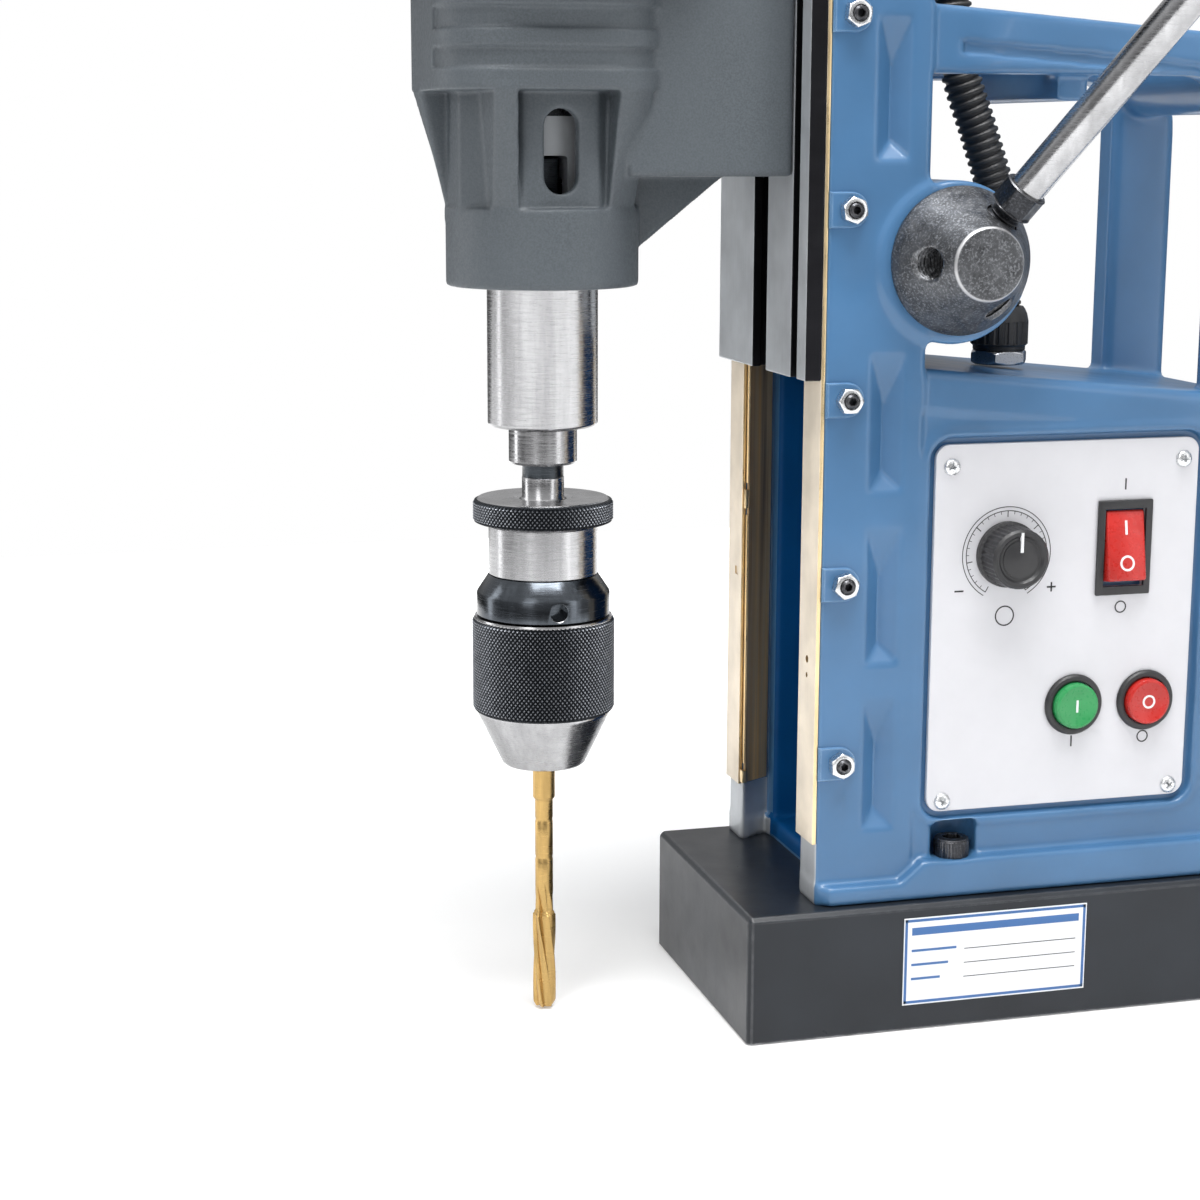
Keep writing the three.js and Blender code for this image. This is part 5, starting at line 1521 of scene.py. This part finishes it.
def build_motor():
    publish("motor_shell", motor_shell(), "grey", "carriage", ("motor_housing",), None)
    publish("motor_cap", cap_shell(), "plastic", "carriage", ("top_cap",), None)
    for side in (-1, 1):
        place = facing((SPINDLE[0], side * 49.4, 494), (0, side, 0))
        profile = [(0.0, 1.3), (1.2, 1.3), (1.2, 1.9), (7.2, 1.9), (7.9, 1.2)]
        profile += [(7.9, 0.0), (0.0, 0.0)]
        slot = block(-6.0, 6.0, -0.8, 0.8, 1.0, 3.0)
        cap = moved(carved(turned(eased(profile, 0.3), 72), slot), place)
        name = "near" if side < 0 else "far"
        publish(f"brush_cap_{name}", cap, "plastic", "carriage")


# ------------------------------------------------------------------ spindle, chuck and reamer
def on_spindle(mesh):
    return moved(mesh, upright(*SPINDLE))


def spindle_body():
    profile = [(12.2, 212.0), (18.0, 212.0), (19.0, 213.0), (19.0, 262.0), (20.0, 262.0)]
    profile += [(20.0, 280.0), (18.0, 280.0), (18.0, 316.4), (18.0, 337.0), (15.0, 337.0)]
    profile += [(15.0, 353.0), (12.0, 353.0), (12.0, 364.0), (8.0, 366.0), (0.0, 366.0)]
    profile += [(0.0, 296.0), (10.4, 296.0), (12.2, 212.0)]
    slot = block(-4.6, 4.6, -30, 30, 286, 303.6, 1.5)
    return carved(turned(eased(profile, 0.35), 144), slot)


def spindle_look(face):
    """Plain steel, a cast-grey stretch behind the drift slot and black above it."""
    z = face.center.z / MM
    return 0 if z < 281 else (1 if z < 316.4 else 2)


def arbor_body():
    profile = [(0.0, 165.0), (7.2, 165.0), (7.9, 186.5), (7.3, 187.5), (7.3, 193.9)]
    profile += [(7.3, 194.0), (7.15, 194.2), (7.15, 198.4), (7.5, 199.0), (11.0, 199.0)]
    profile += [(11.8, 199.9), (11.8, 211.0), (11.4, 211.4), (11.85, 212.5), (10.05, 288.0)]
    profile += [(0.0, 288.0)]
    tang = block(-3.9, 3.9, -8.5, 8.5, 287, 303, 0.8)
    return joined(turned(profile, 120), tang)


def arbor_look(face):
    z = face.center.z / MM
    return 1 if 194.1 < z < 198.9 or z > 280 else 0


DIAMONDS = 98  # round the knurled sleeve


def knurled(profile_below, profile_above, radius, depth, low, high, plain):
    """A turned part whose outside is diamond knurled between two heights."""
    row = 1.2 * math.pi * radius / DIAMONDS
    count = round((high - low) / row)
    bevel = 0.5
    rows = []
    for i in range(count + 1):
        h = low + (high - low) * i / count
        rows.append((radius - max(0.0, bevel - (h - low), bevel - (high - h)), h))
    profile = [*profile_below, *rows, *profile_above]
    band = (low - 0.01, high + 0.01, plain, depth)
    return turned(profile, DIAMONDS * 2, None, band)


def knurl_look(outer, low, high):
    """0 on the knurled outside, 1 elsewhere."""

    def look(face):
        c = face.center / MM
        r = math.hypot(c.x - SPINDLE[0], c.y - SPINDLE[1])
        return 0 if r > outer and low < c.z < high else 1

    return look


def build_chuck():
    def spin(name, mesh, look, replaces=(), pick=None, body="spindle"):
        publish(name, on_spindle(mesh), look, body, replaces, 32, pick)

    look = ["steel", "brushed", "oxide"]
    spin("spindle_nose", spindle_body(), look, ("spindle",), spindle_look)
    look = ["steel", "dark_steel"]
    spin("morse_arbor", arbor_body(), look, ("arbor",), arbor_look)

    below = [(8.2, 178.6), (18.4, 178.6), (18.4, 178.5), (23.0, 178.5)]
    above = [(23.0, 186.6), (22.5, 187.0), (10.4, 187.0), (9.6, 186.5), (8.2, 186.5), (8.2, 178.6)]
    disc_mesh = knurled(below, above, 24.5, 0.75, 178.9, 186.2, 22.9)
    rule = knurl_look(22.0, 178.6, 186.5)
    spin("chuck_disc", disc_mesh, ["disc_knurl", "steel"], ("chuck_body",), rule)

    band = [(8.2, 160.2), (18.6, 160.2), (19.0, 160.6), (19.0, 177.2), (18.4, 177.9), (18.4, 178.5)]
    band += [(8.2, 178.5), (8.2, 160.2)]
    spin("chuck_band", turned(band, 144), "steel")

    shoulder = [(4.6, 145.9), (22.9, 145.9), (23.3, 146.3), (23.3, 153.6), (23.0, 154.3)]
    shoulder += [(19.4, 159.7), (19.0, 160.1), (8.2, 160.1), (4.6, 160.1), (4.6, 145.9)]
    hole_z = 150.1
    hole = [(0, -6), (3.15, -6), (3.15, 0.0), (3.7, 0.6), (3.7, 3.0), (0, 3.0)]
    hole = moved(turned(hole, 48), facing((0, -23.1, hole_z), (0, -1, 0)))

    def hole_look(face):
        c = face.center / MM
        close = math.hypot(c.x - SPINDLE[0], c.z - hole_z) < 3.8 and c.y < -15
        r = math.hypot(c.x - SPINDLE[0], c.y)
        return 1 if close and r > 22.4 and abs(face.normal.y) < 0.98 else 0

    ring, look = carved(turned(shoulder, 144), hole), ["black_gloss", "steel"]
    spin("chuck_shoulder", ring, look, (), hole_look)
    core = [(10.3, 112.0), (16.0, 112.0), (16.0, 145.85), (10.3, 145.85), (10.3, 112.0)]
    spin("chuck_core", turned(eased(core, 0.4), 96), "steel")

    below = [(10.6, 111.5), (10.6, 92.0), (13.9, 92.0), (14.7, 92.7), (23.2, 110.4), (23.5, 111.0)]
    below.append((23.5, 111.5))
    above = [(24.2, 144.9), (24.0, 145.5), (16.3, 145.5), (16.3, 111.5), (10.6, 111.5)]
    sleeve, look = knurled(below, above, 25.0, 0.75, 112.1, 144.6, 23.6), ["knurl", "steel"]
    rule, body = knurl_look(23.6, 111.6, 144.7), "chuck_sleeve"
    spin("sleeve_grip", sleeve, look, ("chuck_sleeve",), rule, body)
    for i in (1, 2, 3):
        dressed(f"jaw_{i}", "steel", f"jaw_{i}", 0.25)


def reamer_mesh():
    """A machine reamer: six flutes that wind slowly and run out into the neck."""
    flutes, lead = 6, 145.0
    tip, cut_top, runout = 0.8, 36.0, 50.0
    step = 0.5
    heights = [tip + i * step for i in range(int((runout - tip) / step) + 1)]
    profile = [(0.0, tip), (1.2, tip)]
    for h in heights:
        outer = 4.1 if h < cut_top else 3.2
        outer = min(outer, 3.2 + max(0.0, h - tip) * 0.55)
        if cut_top - 0.6 < h < cut_top + 0.4:
            outer = 3.65
        profile.append((outer, h + 0.001))
    for low in (56.0, 70.0):
        profile += [(3.2, low), (3.05, low + 0.3), (3.05, low + 1.3), (3.2, low + 1.6)]
    profile += [(3.2, 78.0), (3.6, 78.6), (3.95, 79.2), (3.95, 127.0), (0.0, 127.0)]

    def shape(r, h, a):
        """Each flute has a steep cutting face and a back that rises slowly to the next land."""
        if h > runout or r < 1.5:
            return r
        phase = (a / (2 * math.pi) + (h - tip) / lead) * flutes % 1
        land, face, depth = 0.14, 0.14, 1.35
        if phase < land:
            return r
        share = (phase - land) / (1 - land)
        fall = depth * min(1.0, share / face) * (1 - share) ** 0.7
        rise = depth * max(0.0, h - cut_top) / (runout - cut_top)
        return r - max(0.0, fall - rise)

    return turned(profile, 144, shape)


def build_reamer():
    tool = on_spindle(reamer_mesh())
    publish("reamer_tool", tool, "gold", "spindle", ("reamer",), 28)


# ------------------------------------------------------------------ covers and inner parts
def build_cover():
    dressed("far_cover", "blue", "frame", 0.5)
    places = [(x, z) for x in (-35.5, 83.5) for z in (80.0, 199.5)]
    pan_screws("cover", places, BODY_FAR, 1, 0.2, 0.5)


INNER_LOOKS = {
    "plastic": ("switch_block", "speed_sensor", "cooling_fan"),
    "board": ("controller_board",),
    "lamination": ("stator", "armature"),
    "brass": ("brush_holder_near", "brush_holder_far"),
    "steel": (
        *("armature_bearing", "lay_shaft", "lay_wheel", "spindle_gear"),
        *("spindle_bearing_lower", "spindle_bearing_upper"),
    ),
}


def dress_inner_nodes():
    """The CAD nodes whose shape stays get their materials."""
    for look, names in INNER_LOOKS.items():
        for name in names:
            data = NODES[name].data
            data.materials.clear()
            data.materials.append(LOOKS[look])


def add_floor():
    half, drop = 1000.0, -0.2
    corners = [(-half, -half), (half, -half), (half, half), (-half, half)]
    sheet = mesh_of([(x, y, drop) for x, y in corners], [[0, 1, 2, 3]])
    floor = bpy.data.objects.new("floor", sheet)
    made = material("floor", (0.82, 0.82, 0.82), 0.6)
    feed(made, "Base Color", mixed(made, noise(made, 3, 2), (0.80, 0.80, 0.80), (0.84, 0.84, 0.84)))
    shader = made.node_tree.nodes["Principled BSDF"]
    shader.inputs["Emission Color"].default_value = (1.0, 1.0, 1.0, 1.0)
    # the paper stays white where the lamps no longer reach it
    reach = off_axis(made, (0.0, 0.0, 0.0), (1.0, 1.0, 1.0))
    feed(made, "Emission Strength", remapped(made, reach, 0.26, 0.98, 0.30, 0.95))
    floor.data.materials.append(made)
    bpy.context.scene.collection.objects.link(floor)


# ------------------------------------------------------------------ the whole machine
add_camera()
add_studio()
add_floor()
build_casting()
publish("gear_housing", gear_housing(), "grey", "carriage", ("gearbox_housing",), None)
build_foot()
build_sticker()
build_fasteners()
build_strips()
build_panel()
build_controls()
build_conduit()
build_glands()
build_feed()
build_carriage()
build_motor()
build_chuck()
build_reamer()
build_cover()
dress_inner_nodes()
